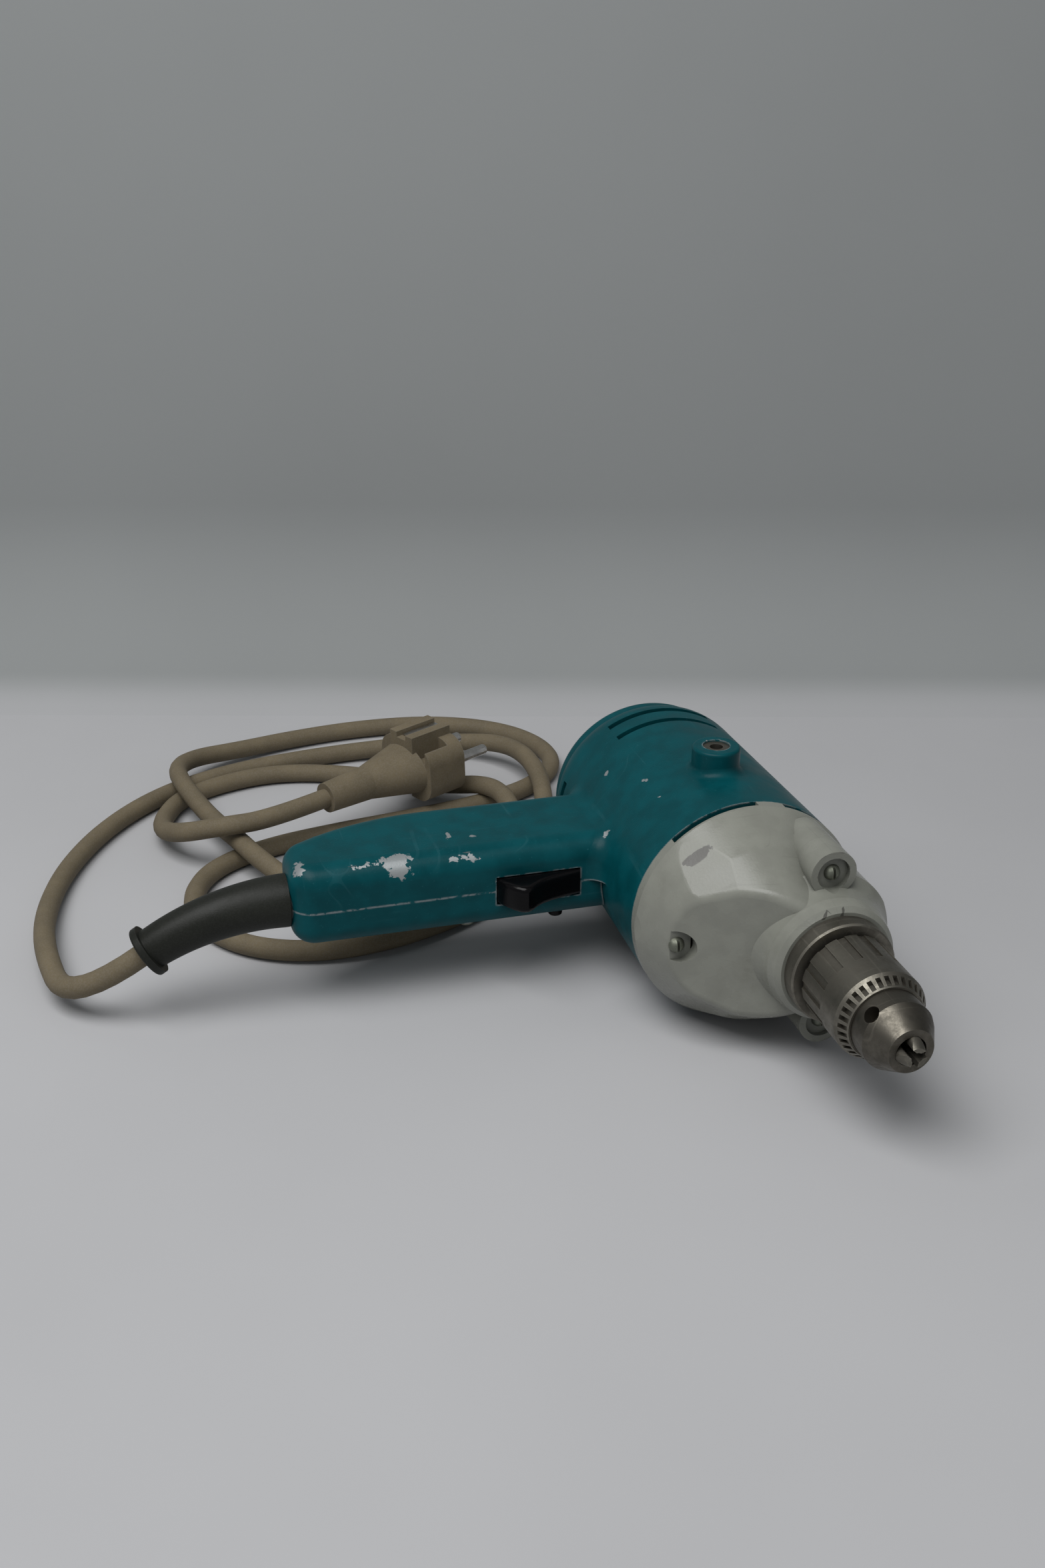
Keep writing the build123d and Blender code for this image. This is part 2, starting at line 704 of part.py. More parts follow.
with BuildPart() as gear_housing:
    with BuildSketch(level(0)) as bell:
        with BuildLine():
            Polyline(
                (0, 0),
                (flange_radius, 0),
                (flange_radius, -rim_length),
                (crease_radius, crease_station),
                (0, cone_tip_station),
                close=True,
            )
        make_face()
        fillet(bell.vertices().sort_by_distance((crease_radius, crease_station))[0], radius=9)
    revolve(axis=Axis((motor_x, flange_y, motor_z), (0, 1, 0)))
    for plane in (face_plane(0), cheek_plane(1, 0), cheek_plane(-1, 0), chin_plane()):
        split(bisect_by=plane, keep=Keep.BOTTOM)
    flats = [f for f in gear_housing.faces().filter_by(GeomType.PLANE) if f.normal_at().Y < 0]
    ridges = {e for f in flats for e in f.edges() if e.center().Y < flange_y - 2 * rim_length}
    fillet(ridges, radius=face_fillet)
    add(nose_form.part)
    for place_u, place_w in case_screw_places[1:]:
        ring(0, ear_radius, ear_front, -8, place_u, place_w)
    add(gear_cavity.part, mode=Mode.SUBTRACT)
    ring(0, plate_bore, -plate_thickness, 1, mode=Mode.SUBTRACT)
    tip_room = second_module * (spindle_gear_teeth / 2 + addendum) + 1.2
    ring(0, tip_room, pocket_front, 0, spindle_offset, 0, Mode.SUBTRACT)
    tip_room = second_module * (counter_pinion_teeth / 2 + addendum) + 0.8
    ring(0, tip_room, counter_pocket_front, 0, counter_u, counter_w, Mode.SUBTRACT)
    tip_room = first_module * (counter_gear_teeth / 2 + addendum) + 0.8
    ring(0, tip_room, first_gear_front - 1, 0, counter_u, counter_w, Mode.SUBTRACT)
    for place_u, place_w in case_screw_places:
        ring(0, inner_post_radius, ear_front / 2, -plate_thickness, place_u, place_w)
    ring(0, spindle_radius + spindle_bush_wall + seat_gap, bush_front, 0, spindle_offset, 0, Mode.SUBTRACT)
    ring(0, collar_spigot_radius + seat_gap, nose_face - 1, bush_front, spindle_offset, 0, Mode.SUBTRACT)
    bush_hole = counter_radius + counter_bush_wall + seat_gap
    ring(0, bush_hole, counter_hole_front, 0, counter_u, counter_w, Mode.SUBTRACT)
    for (place_u, place_w), floor in zip(case_screw_places, screw_floors):
        ring(0, 1.5 * case_screw_head, nose_face, floor, place_u, place_w, Mode.SUBTRACT)
        ring(0, case_screw_radius + case_gap, nose_face, 1, place_u, place_w, Mode.SUBTRACT)
    notches(-notch_depth, 1)
gear_housing.part.label = "gear_housing"
export_step(gear_housing.part, "parts/gear_housing.step")

with BuildPart() as gear_housing_screws:
    for (place_u, place_w), floor in zip(case_screw_places, screw_floors):
        screw(place_u, place_w, floor - 2.8, case_screw_head, 2.8, case_screw_radius, case_screw_end)
gear_housing_screws.part.label = "gear_housing_screws"
export_step(gear_housing_screws.part, "parts/gear_housing_screws.step")

# Bearing plate between the gears and the motor
front_bearing_front = -plate_thickness + 0.5
rear_bush_radius = spindle_rear_radius + rear_bush_wall
counter_bush_radius = counter_radius + counter_bush_wall
with BuildPart() as bearing_plate:
    ring(0, plate_bore - seat_gap, -plate_thickness, -spigot_length)
    ring(0, front_bearing_radius + 3, -plate_thickness, 0)
    ring(0, rear_bush_radius + 2.5, -plate_thickness, 0, spindle_offset)
    ring(0, counter_bush_radius + 2, -plate_thickness, 0, counter_u, counter_w)
    ring(0, front_bearing_radius + seat_gap, front_bearing_front, 1, mode=Mode.SUBTRACT)
    ring(0, front_bearing_radius - 3, -plate_thickness - 1, 0, mode=Mode.SUBTRACT)
    ring(0, rear_bush_radius + seat_gap, -plate_thickness - 1, 1, spindle_offset, 0, Mode.SUBTRACT)
    ring(0, counter_bush_radius + seat_gap, -plate_thickness - 1, 1, counter_u, counter_w, Mode.SUBTRACT)
    for place_u, place_w in case_screw_places:
        ring(0, case_screw_radius + case_gap, -plate_thickness - 1, 1, place_u, place_w, Mode.SUBTRACT)
bearing_plate.part.label = "bearing_plate"
export_step(bearing_plate.part, "parts/bearing_plate.step")

with BuildPart() as front_bearing:
    front_bearing_rear = front_bearing_front + front_bearing_width
    ring(shaft_radius + running_gap, front_bearing_radius, front_bearing_front, front_bearing_rear)
front_bearing.part.label = "front_bearing"
export_step(front_bearing.part, "parts/front_bearing.step")

with BuildPart() as rear_bearing:
    rear_bearing_rear = web_start + rear_bearing_width
    ring(shaft_rear_radius + running_gap, rear_bearing_radius, web_start, rear_bearing_rear)
rear_bearing.part.label = "rear_bearing"
export_step(rear_bearing.part, "parts/rear_bearing.step")

with BuildPart() as spindle_front_bush:
    bush_outer = spindle_radius + spindle_bush_wall
    ring(spindle_radius + running_gap, bush_outer, bush_front, pocket_front, spindle_offset)
spindle_front_bush.part.label = "spindle_front_bush"
export_step(spindle_front_bush.part, "parts/spindle_front_bush.step")

with BuildPart() as spindle_rear_bush:
    ring(spindle_rear_radius + running_gap, rear_bush_radius, -plate_thickness, 0, spindle_offset)
spindle_rear_bush.part.label = "spindle_rear_bush"
export_step(spindle_rear_bush.part, "parts/spindle_rear_bush.step")

with BuildPart() as countershaft_bushes:
    for front, rear in ((counter_hole_front, counter_pocket_front), (-plate_thickness, 0)):
        ring(counter_radius + running_gap, counter_bush_radius, front, rear, counter_u, counter_w)
countershaft_bushes.part.label = "countershaft_bushes"
export_step(countershaft_bushes.part, "parts/countershaft_bushes.step")

with BuildPart() as spindle_collar:
    turn([
        (spindle_radius + 1.5, collar_face),
        (collar_radius - 0.6, collar_face),
        (collar_radius, collar_face + 0.6),
        (collar_radius, nose_face),
        (collar_spigot_radius, nose_face),
        (collar_spigot_radius, bush_front),
        (spindle_radius + 1.5, bush_front),
    ], spindle_offset)
spindle_collar.part.label = "spindle_collar"
export_step(spindle_collar.part, "parts/spindle_collar.step")

# Armature
pinion_rear = first_gear_rear + 0.5
pinion_width = first_gear_width + 1
with BuildPart() as armature_shaft:
    turn([
        (0, pinion_rear - pinion_width - 0.3),
        (shaft_front_radius, pinion_rear - pinion_width - 0.3),
        (shaft_front_radius, pinion_rear),
        (shaft_radius, pinion_rear),
        (shaft_radius, web_start - 1.5),
        (shaft_rear_radius, web_start - 1.5),
        (shaft_rear_radius, web_start + rear_bearing_width + 2),
        (0, web_start + rear_bearing_width + 2),
    ])
armature_shaft.part.label = "armature_shaft"
export_step(armature_shaft.part, "parts/armature_shaft.step")

with BuildPart() as motor_pinion:
    gear(motor_pinion_teeth, first_module, counter_turn, shaft_front_radius, pinion_rear, pinion_width)
motor_pinion.part.label = "motor_pinion"
export_step(motor_pinion.part, "parts/motor_pinion.step")

rotor_start = core_start + 0.5
rotor_end = core_start + core_length - 0.5
winding_reach = 7.5
with BuildPart() as armature_core:
    ring(shaft_radius, armature_radius, rotor_start, rotor_end)
    with BuildSketch(station(rotor_end)):
        with PolarLocations((slot_floor + armature_radius + 1) / 2, slot_count):
            Rectangle(armature_radius + 1 - slot_floor, slot_width)
    extrude(amount=rotor_end - rotor_start, mode=Mode.SUBTRACT)
armature_core.part.label = "armature_core"
export_step(armature_core.part, "parts/armature_core.step")

with BuildPart() as armature_windings:
    with BuildSketch(station(rotor_end + winding_reach)):
        with PolarLocations((slot_floor + armature_radius) / 2, slot_count):
            Rectangle(armature_radius - slot_floor - 1, slot_width - 0.1)
    extrude(amount=rotor_end - rotor_start + 2 * winding_reach)
    ring(slot_floor + 4, armature_radius + 1, rotor_start - winding_reach, rotor_start, mode=Mode.SUBTRACT)
    ring(slot_floor + 4, armature_radius + 1, rotor_end, rotor_end + winding_reach, mode=Mode.SUBTRACT)
    ring(shaft_radius, slot_floor + 4, rotor_start - winding_reach, rotor_start)
    ring(shaft_radius, slot_floor + 4, rotor_end, rotor_end + winding_reach)
armature_windings.part.label = "armature_windings"
export_step(armature_windings.part, "parts/armature_windings.step")

commutator_end = commutator_start + commutator_length
with BuildPart() as commutator:
    ring(shaft_radius, commutator_radius, commutator_start, commutator_end)
    with BuildSketch(station(commutator_end)):
        with PolarLocations(commutator_radius, 2 * slot_count):
            Rectangle(2, 0.6)
    extrude(amount=commutator_length, mode=Mode.SUBTRACT)
commutator.part.label = "commutator"
export_step(commutator.part, "parts/commutator.step")

with BuildPart() as cooling_fan:
    ring(shaft_radius, shaft_radius + 5, fan_start, fan_start + fan_length)
    ring(shaft_radius, fan_radius, fan_start + fan_length - 2, fan_start + fan_length)
    with BuildSketch(station(fan_start + fan_length)):
        with PolarLocations((shaft_radius + 4 + fan_radius - 0.5) / 2, fan_blades):
            Rectangle(fan_radius - shaft_radius - 4.5, 1.6)
    extrude(amount=fan_length)
cooling_fan.part.label = "cooling_fan"
export_step(cooling_fan.part, "parts/cooling_fan.step")

# Field and brushes
window_near = 17.0
window_far = (23.5, 24.0)
coil_gap = 0.2
coil_end = 6.5
with BuildPart() as field_core:
    ring(armature_radius + air_gap, field_radius, core_start, core_start + core_length)
    for side_u in (-1, 1):
        for side_w in (-1, 1):
            block(
                sorted((side_u * window_near, side_u * window_far[0])),
                (core_start - 1, core_start + core_length + 1),
                sorted((side_w * window_near, side_w * window_far[1])),
                Mode.SUBTRACT,
            )
field_core.part.label = "field_core"
export_step(field_core.part, "parts/field_core.step")

with BuildPart() as field_coils:
    for side in (-1, 1):
        span = sorted((side * (window_near + coil_gap), side * (window_far[1] - coil_gap)))
        half = window_far[0] - coil_gap
        block((-half, half), (core_start - coil_end, core_start + core_length + coil_end), span)
        half = window_near + coil_gap
        block((-half, half), (core_start - 0.1, core_start + core_length + 0.1), span, Mode.SUBTRACT)
field_coils.part.label = "field_coils"
export_step(field_coils.part, "parts/field_coils.step")

brush_station = commutator_start + commutator_length / 2
brush_low = commutator_radius + 0.05
brush_high = brush_low + brush_length
holder_low = commutator_radius + 2.5
holder_high = inner_rear - 0.4
with BuildPart() as brush_holders:
    for side in (-1, 1):
        half_u = brush_width / 2
        half_s = brush_depth / 2
        span = sorted((side * holder_low, side * holder_high))
        block((-half_u - 2, half_u + 2), (brush_station - half_s - 1.5, brush_station + half_s + 1.5), span)
        span = sorted((side * (holder_low - 1), side * (holder_high - 2)))
        fit = (brush_station - half_s - 0.05, brush_station + half_s + 0.05)
        block((-half_u - 0.05, half_u + 0.05), fit, span, Mode.SUBTRACT)
brush_holders.part.label = "brush_holders"
export_step(brush_holders.part, "parts/brush_holders.step")

with BuildPart() as carbon_brushes:
    for side in (-1, 1):
        half_s = brush_depth / 2
        span = sorted((side * brush_low, side * brush_high))
        block((-brush_width / 2, brush_width / 2), (brush_station - half_s, brush_station + half_s), span)
carbon_brushes.part.label = "carbon_brushes"
export_step(carbon_brushes.part, "parts/carbon_brushes.step")


def folded_strip(plane, start, end, half_swing, thickness, folds, width):
    """Folded strip spring along the local y of a plane, swinging along its local x."""
    step = (end - start - thickness) / folds
    with BuildSketch(plane) as profile:
        for i in range(folds):
            near, far = (-1) ** i * half_swing, (-1) ** (i + 1) * half_swing
            low, high = start + step * i, start + step * (i + 1)
            with BuildLine():
                Polyline(
                    (near, low),
                    (far, high),
                    (far, high + thickness),
                    (near, low + thickness),
                    close=True,
                )
            make_face()
    extrude(profile.sketch, amount=width)


with BuildPart() as brush_springs:
    for side in (-1, 1):
        origin = (motor_x - side * 1.5, flange_y + brush_station, motor_z)
        plane = Plane(origin=origin, x_dir=(0, 1, 0), z_dir=(side, 0, 0))
        folded_strip(plane, brush_high, holder_high - 2, 2.4, 0.6, 4, 3)
brush_springs.part.label = "brush_springs"
export_step(brush_springs.part, "parts/brush_springs.step")

# Countershaft with its pinion cut on it, and the gear pressed on
with BuildPart() as countershaft:
    ring(0, counter_radius, counter_hole_front + 0.3, -0.3, counter_u, counter_w)
    gear(
        counter_pinion_teeth, second_module, spindle_turn, counter_radius - 0.5,
        second_gear_rear + 0.5, second_gear_width + 1, counter_u, counter_w,
    )
countershaft.part.label = "countershaft"
export_step(countershaft.part, "parts/countershaft.step")

with BuildPart() as counter_gear:
    back_tooth = counter_turn + math.pi + math.pi / counter_gear_teeth
    gear(
        counter_gear_teeth, first_module, back_tooth, counter_radius,
        first_gear_rear, first_gear_width, counter_u, counter_w,
    )
counter_gear.part.label = "counter_gear"
export_step(counter_gear.part, "parts/counter_gear.step")

# Spindle
thread_end = chuck_back - 15.0
with BuildPart() as spindle:
    turn([
        (0, thread_end),
        (spindle_thread_radius, thread_end),
        (spindle_thread_radius, chuck_back),
        (spindle_radius + 1, chuck_back),
        (spindle_radius + 1, collar_face + 2),
        (spindle_radius, collar_face + 2),
        (spindle_radius, second_gear_front),
        (spindle_radius - 0.5, second_gear_front),
        (spindle_radius - 0.5, second_gear_rear + 0.5),
        (spindle_neck_radius, second_gear_rear + 0.5),
        (spindle_neck_radius, -plate_thickness - 0.3),
        (spindle_rear_radius, -plate_thickness - 0.3),
        (spindle_rear_radius, -0.6),
        (0, -0.6),
    ], spindle_offset)
spindle.part.label = "spindle"
export_step(spindle.part, "parts/spindle.step")

with BuildPart() as spindle_gear:
    back_tooth = spindle_turn + math.pi + math.pi / spindle_gear_teeth
    gear(
        spindle_gear_teeth, second_module, back_tooth, spindle_radius - 0.5,
        second_gear_rear, second_gear_width, spindle_offset,
    )
spindle_gear.part.label = "spindle_gear"
export_step(spindle_gear.part, "parts/spindle_gear.step")

with BuildPart() as thrust_washer:
    washer_rear = pocket_front + washer_thickness
    ring(spindle_radius + running_gap, washer_radius, pocket_front, washer_rear, spindle_offset)
thrust_washer.part.label = "thrust_washer"
export_step(thrust_washer.part, "parts/thrust_washer.step")

# Chuck
nut_front = ring_front + 1.0
nut_rear = nut_front + 6.0
nut_gap = 0.15
nut_outer = chuck_body_radius + 0.5
nose_cone_start = ring_front - 8.0
jaw_angles = [math.radians(key_hole_angle + 60 + 120 * k) for k in range(3)]
spindle_x = motor_x + spindle_offset


def jaw_line(s):
    """Distance of a jaw's own axis from the spindle axis at a station."""
    return jaw_tip_offset + (s - jaw_tip) * math.tan(jaw_lean)


def jaw_plane(angle, s):
    """Plane across a jaw's own axis, facing the rear."""
    u = jaw_line(s) * math.cos(angle)
    w = jaw_line(s) * math.sin(angle)
    lean = (math.cos(angle) * math.sin(jaw_lean), math.cos(jaw_lean), math.sin(angle) * math.sin(jaw_lean))
    return Plane(origin=(spindle_x + u, flange_y + s, motor_z + w), z_dir=lean)


groove_radius = 8.6
jaw_room_rear = chuck_back - 4.0
with BuildPart() as chuck_body:
    turn([
        (spindle_thread_radius, chuck_back),
        (chuck_body_radius, chuck_back),
        (chuck_body_radius, nut_rear),
        (groove_radius, nut_rear),
        (groove_radius, nut_front),
        (chuck_nose_radius, nut_front),
        (chuck_nose_radius, nose_cone_start),
        (8.0, chuck_front),
        (chuck_mouth_radius, chuck_front),
        (chuck_mouth_radius, thread_end - 4),
        (spindle_thread_radius, thread_end - 3.5),
    ], spindle_offset)
    for angle in jaw_angles:
        with BuildSketch(jaw_plane(angle, jaw_tip - 3)):
            Circle(jaw_radius + 0.1)
        extrude(amount=(jaw_room_rear - jaw_tip + 3) / math.cos(jaw_lean), mode=Mode.SUBTRACT)
    for angle in jaw_angles:
        key = angle + math.pi / 3
        reach = chuck_nose_radius + 2
        origin = (
            spindle_x + reach * math.cos(key),
            flange_y + ring_front - key_hole_setback,
            motor_z + reach * math.sin(key),
        )
        with BuildSketch(Plane(origin=origin, z_dir=(-math.cos(key), 0, -math.sin(key)))):
            Circle(key_hole_radius)
        extrude(amount=reach - 7.5, mode=Mode.SUBTRACT)
chuck_body.part.label = "chuck_body"
export_step(chuck_body.part, "parts/chuck_body.step")

sleeve_room = 13.6
with BuildPart() as chuck_sleeve:
    turn([
        (chuck_body_radius + 2 * running_gap, chuck_back - 0.3),
        (sleeve_radius - 0.6, chuck_back - 0.3),
        (sleeve_radius, chuck_back - 0.9),
        (sleeve_radius, sleeve_front),
        (tooth_ring_front_radius, ring_front),
        (chuck_nose_radius + 3 * running_gap, ring_front),
        (chuck_nose_radius + 3 * running_gap, nut_front),
        (nut_outer, nut_front),
        (nut_outer, nut_rear),
        (sleeve_room, nut_rear),
        (sleeve_room, chuck_back - 3),
        (chuck_body_radius + 2 * running_gap, chuck_back - 3),
    ], spindle_offset)
    with BuildSketch(station(sleeve_front - 1.2, spindle_offset)):
        tooth_floor = tooth_ring_front_radius + 0.3
        with PolarLocations((tooth_floor + sleeve_radius + 0.5) / 2, chuck_tooth_count):
            Rectangle(sleeve_radius + 0.5 - tooth_floor, 1.7)
    extrude(amount=tooth_ring_length, mode=Mode.SUBTRACT)
    with BuildSketch(station(chuck_back, spindle_offset)):
        with PolarLocations(sleeve_radius, flute_count):
            Rectangle(1.8, 2.9)
    extrude(amount=flute_length, mode=Mode.SUBTRACT)
chuck_sleeve.part.label = "chuck_sleeve"
export_step(chuck_sleeve.part, "parts/chuck_sleeve.step")

with BuildPart() as jaw_nut:
    clear = jaw_radius / math.cos(jaw_lean) + nut_gap
    turn([
        (jaw_line(nut_front) + clear, nut_front + 0.1),
        (nut_outer - seat_gap, nut_front + 0.1),
        (nut_outer - seat_gap, nut_rear - 0.1),
        (jaw_line(nut_rear) + clear, nut_rear - 0.1),
    ], spindle_offset)
jaw_nut.part.label = "jaw_nut"
export_step(jaw_nut.part, "parts/jaw_nut.step")

for number, angle in enumerate(jaw_angles, 1):
    with BuildPart() as chuck_jaw:
        with BuildSketch(jaw_plane(angle, jaw_tip - 3)):
            Circle(jaw_radius)
        extrude(amount=jaw_length + 3)
        turn([
            (0, jaw_tip),
            (jaw_tip_offset + 0.9, jaw_tip),
            (2 * jaw_tip_offset + 0.8, jaw_tip + 4.5),
            (2 * sleeve_radius, jaw_tip + 4.5),
            (2 * sleeve_radius, jaw_tip + 2 * jaw_length),
            (0, jaw_tip + 2 * jaw_length),
        ], spindle_offset, mode=Mode.INTERSECT)
        for side in (-1, 1):
            flank = angle + side * math.pi / 3
            out = (-side * math.sin(flank), side * math.cos(flank))
            origin = (spindle_x - jaw_flank_gap * out[0], flange_y, motor_z - jaw_flank_gap * out[1])
            split(bisect_by=Plane(origin=origin, z_dir=(out[0], 0, out[1])), keep=Keep.BOTTOM)
        ring(0, grip_radius, jaw_tip - 1, jaw_tip + jaw_length, spindle_offset, 0, Mode.SUBTRACT)
    chuck_jaw.part.label = f"chuck_jaw_{number}"
    export_step(chuck_jaw.part, f"parts/chuck_jaw_{number}.step")

# Trigger, switch and lock button
flange_front = grip_front + grip_wall + trigger_stop_gap
flange_rear = flange_front + trigger_flange
trigger_tip = grip_front - trigger_proud
with BuildPart() as trigger:
    with BuildSketch(level(-trigger_half_width)) as trigger_side:
        with BuildLine():
            ends = ((-trigger_bottom, flange_front), (-trigger_top, flange_front))
            low = (-trigger_bottom, grip_front - 1)
            tip_low = (trigger_tip_u - 2.2, trigger_tip)
            tip_high = (trigger_tip_u + 1.2, trigger_tip + 0.6)
            high = (-trigger_top, grip_front - 1)
            Polyline(ends[1], ends[0], low, tip_low, tip_high)
            ThreePointArc(tip_high, (trigger_tip_u + 11, trigger_tip + 7), high)
            Line(high, ends[1])
        make_face()
        fillet(trigger_side.vertices().sort_by(Axis.Y)[:2], radius=1.5)
    extrude(amount=2 * trigger_half_width)
    finger_face = trigger.faces().filter_by(GeomType.CYLINDER).sort_by(SortBy.AREA)[-1]
    fillet(finger_face.edges().filter_by(GeomType.CIRCLE), radius=1.5)
    lip = 3.2
    block(
        (-trigger_bottom - lip, -trigger_top + 1.2),
        (flange_front, flange_rear),
        (-(trigger_half_width - 2), trigger_half_width + 2),
    )
trigger.part.label = "trigger"
export_step(trigger.part, "parts/trigger.step")

switch_front = switch_place[1] - switch_size[1] / 2
with BuildPart() as switch_body:
    half_u = switch_size[0] / 2
    switch_span = (switch_front, switch_front + switch_size[1])
    block((switch_place[0] - half_u, switch_place[0] + half_u), switch_span, (-switch_half, switch_half))
    fillet(switch_body.edges().filter_by(Axis.Z), radius=1.5)
switch_body.part.label = "switch_body"
export_step(switch_body.part, "parts/switch_body.step")

with BuildPart() as trigger_spring:
    plane = Plane(origin=(motor_x + switch_place[0], flange_y, motor_z - 2))
    folded_strip(plane, flange_rear, switch_front, 4, 0.5, 5, 4)
trigger_spring.part.label = "trigger_spring"
export_step(trigger_spring.part, "parts/trigger_spring.step")

with BuildPart() as lock_button:
    inner_face = -(grip_left - grip_wall)
    post(lock_radius, lock_u, lock_station, -grip_left - lock_proud, inner_face + 2.2)
    fillet(lock_button.edges().sort_by(Axis.Z)[0], radius=0.8)
    post(lock_radius + lock_collar, lock_u, lock_station, inner_face + 0.2, inner_face + 1.7)
lock_button.part.label = "lock_button"
export_step(lock_button.part, "parts/lock_button.step")

# Cord clamp and supply leads
clamp_thickness = 3.0
clamp_top = -cord_radius - 0.05
with BuildPart() as cord_clamp:
    half = clamp_pitch / 2 + 2.9
    clamp_span = (clamp_top - clamp_thickness, clamp_top)
    block((clamp_u - 3.2, clamp_u + 3.2), (cord_station - half, cord_station + half), clamp_span)
    for side in (-1, 1):
        clamp_s = cord_station + side * clamp_pitch / 2
        hole_low = clamp_top - clamp_thickness - 1
        post(clamp_screw_radius + case_gap, clamp_u, clamp_s, hole_low, 0, Mode.SUBTRACT)
cord_clamp.part.label = "cord_clamp"
export_step(cord_clamp.part, "parts/cord_clamp.step")

with BuildPart() as clamp_screws:
    for side in (-1, 1):
        clamp_s = cord_station + side * clamp_pitch / 2
        post(clamp_screw_radius, clamp_u, clamp_s, clamp_top - clamp_thickness, 5.5)
        post(2.8, clamp_u, clamp_s, clamp_top - clamp_thickness - 2, clamp_top - clamp_thickness)
clamp_screws.part.label = "clamp_screws"
export_step(clamp_screws.part, "parts/clamp_screws.step")

# Cord boot: a straight neck in the butt, then an even droop
butt_x = motor_x - grip_reach
cord_y = flange_y + cord_station
bend_x = butt_x - boot_straight
bend_radius = boot_span / math.sin(boot_droop)
corner_x = bend_x - bend_radius * math.tan(boot_droop / 2)


def boot_plane(angle):
    """Plane across the boot after it has drooped by an angle, facing away from the grip."""
    origin = (bend_x - bend_radius * math.sin(angle), cord_y, motor_z - bend_radius * (1 - math.cos(angle)))
    return Plane(origin=origin, x_dir=(0, 1, 0), z_dir=(-math.cos(angle), 0, -math.sin(angle)))


with BuildPart() as strain_relief:
    boot_steps = 6
    for i in range(boot_steps + 1):
        part_way = i / boot_steps
        with BuildSketch(boot_plane(boot_droop * part_way)):
            Circle(boot_base_radius + (boot_end_radius - boot_base_radius) * part_way)
    loft()
    neck_in = -grip_reach + grip_wall
    along_grip(boot_base_radius, cord_station, 0, -grip_reach - 0.05, -grip_reach - boot_straight)
    along_grip(boot_neck_radius, cord_station, 0, neck_in, -grip_reach - boot_straight)
    flange_low = neck_in + 2.2
    along_grip(boot_neck_radius + 0.8, cord_station, 0, flange_low + boot_flange, flange_low)
    along_grip(boot_neck_radius, cord_station, 0, flange_low + boot_flange, neck_in)
    with BuildSketch(boot_plane(boot_droop)):
        Circle(boot_rim_radius)
    extrude(amount=-boot_rim_length)
    fillet(strain_relief.edges().filter_by(GeomType.CIRCLE).sort_by(Axis.X)[0], radius=1)
    start = (motor_x + flange_low + boot_flange + 1, cord_y, motor_z)
    with BuildLine() as bore_path:
        Line(start, (bend_x, cord_y, motor_z))
        TangentArc((bend_x, cord_y, motor_z), boot_plane(boot_droop).origin, tangent=(-1, 0, 0))
    with BuildSketch(Plane(origin=start, x_dir=(0, 1, 0), z_dir=(-1, 0, 0))):
        Circle(cord_radius + cord_bore_gap)
    sweep(path=bore_path.line, mode=Mode.SUBTRACT)
strain_relief.part.label = "strain_relief"
export_step(strain_relief.part, "parts/strain_relief.step")

# Mains cord: from the clamp through the boot, then in loops on the floor to the plug
boot_run = bend_radius * math.tan(boot_droop / 2) / 0.45
plug_axis = Vector(*plug_direction).normalized()
plug_end_run = 30.0
cord_route = [
    (-191, 92, 10.5),
    (-189, 134, 6),
    (-179, 173, 4.5),
    (-160, 209, 4.5),
    (-134, 237, 4.5),
    (-102, 254, 4.5),
    (-64, 262, 4.5),
    (-22, 264, 5),
    (14, 255, 8),
    (35, 233, 13.4),
    (40, 201, 13.6),
    (34, 167, 8),
    (20, 133, 4.5),
    (2, 105, 4.5),
    (-24, 87, 4.5),
    (-55, 74, 4.5),
    (-86, 71, 4.5),
    (-113, 82, 4.5),
    (-129, 105, 4.5),
    (-131, 131, 4.5),
    (-119, 155, 4.4),
    (-94, 169, 4.4),
    (-62, 176, 4.4),
    (-27, 181, 4.4),
    (8, 188, 4.4),
    (38, 201, 4.4),
    (56, 224, 4.5),
    (53, 253, 4.5),
    (35, 276, 4.5),
    (5, 290, 4.5),
    (-30, 292.5, 4.5),
    (-64, 288, 4.5),
    (-94, 277, 6),
    (-116, 264, 10),
    (-126, 245, 13.6),
    (-124, 224, 13.7),
    (-117, 203, 9.5),
    (-112, 182, 11),
    (-107, 163, 13.2),
    (-101, 146, 12),
    (-88, 128, 6),
    (-66, 115, 4.5),
    (-38, 112, 4.5),
    (-8, 121, 4.5),
    (12, 142, 7),
    (18, 165, 12),
    (14, 187, 14.4),
    (-4, 207, 7),
    (-26, 225, 4.6),
    (-50, 240, 4.5),
    (-78, 248, 4.5),
    (-104, 243, 4.5),
    (-126, 230, 4.5),
    (-136, 208, 5),
    (-137, 185, 10),
    (-129, 168, 16.5),
    (-113, 158, 22.3),
]

corner = Vector(corner_x, cord_y, motor_z)
droop = Vector(-math.cos(boot_droop), 0, -math.sin(boot_droop))
plug_start = Vector(*plug_place)
points = [corner + Vector(boot_run, 0, 0), corner, corner + droop * (1.01 * boot_run)]
points += [Vector(*place) for place in cord_route]
points += [plug_start - plug_axis * plug_end_run, plug_start]

radii = []
for before, at, after in zip(points, points[1:], points[2:]):
    half_turn = math.radians((at - before).get_angle(after - at)) / 2
    shorter = min((at - before).length, (after - at).length)
    radii.append(0.45 * shorter / math.tan(half_turn))
radii[0] = bend_radius
print("cord radii", [round(radius) for radius in radii])

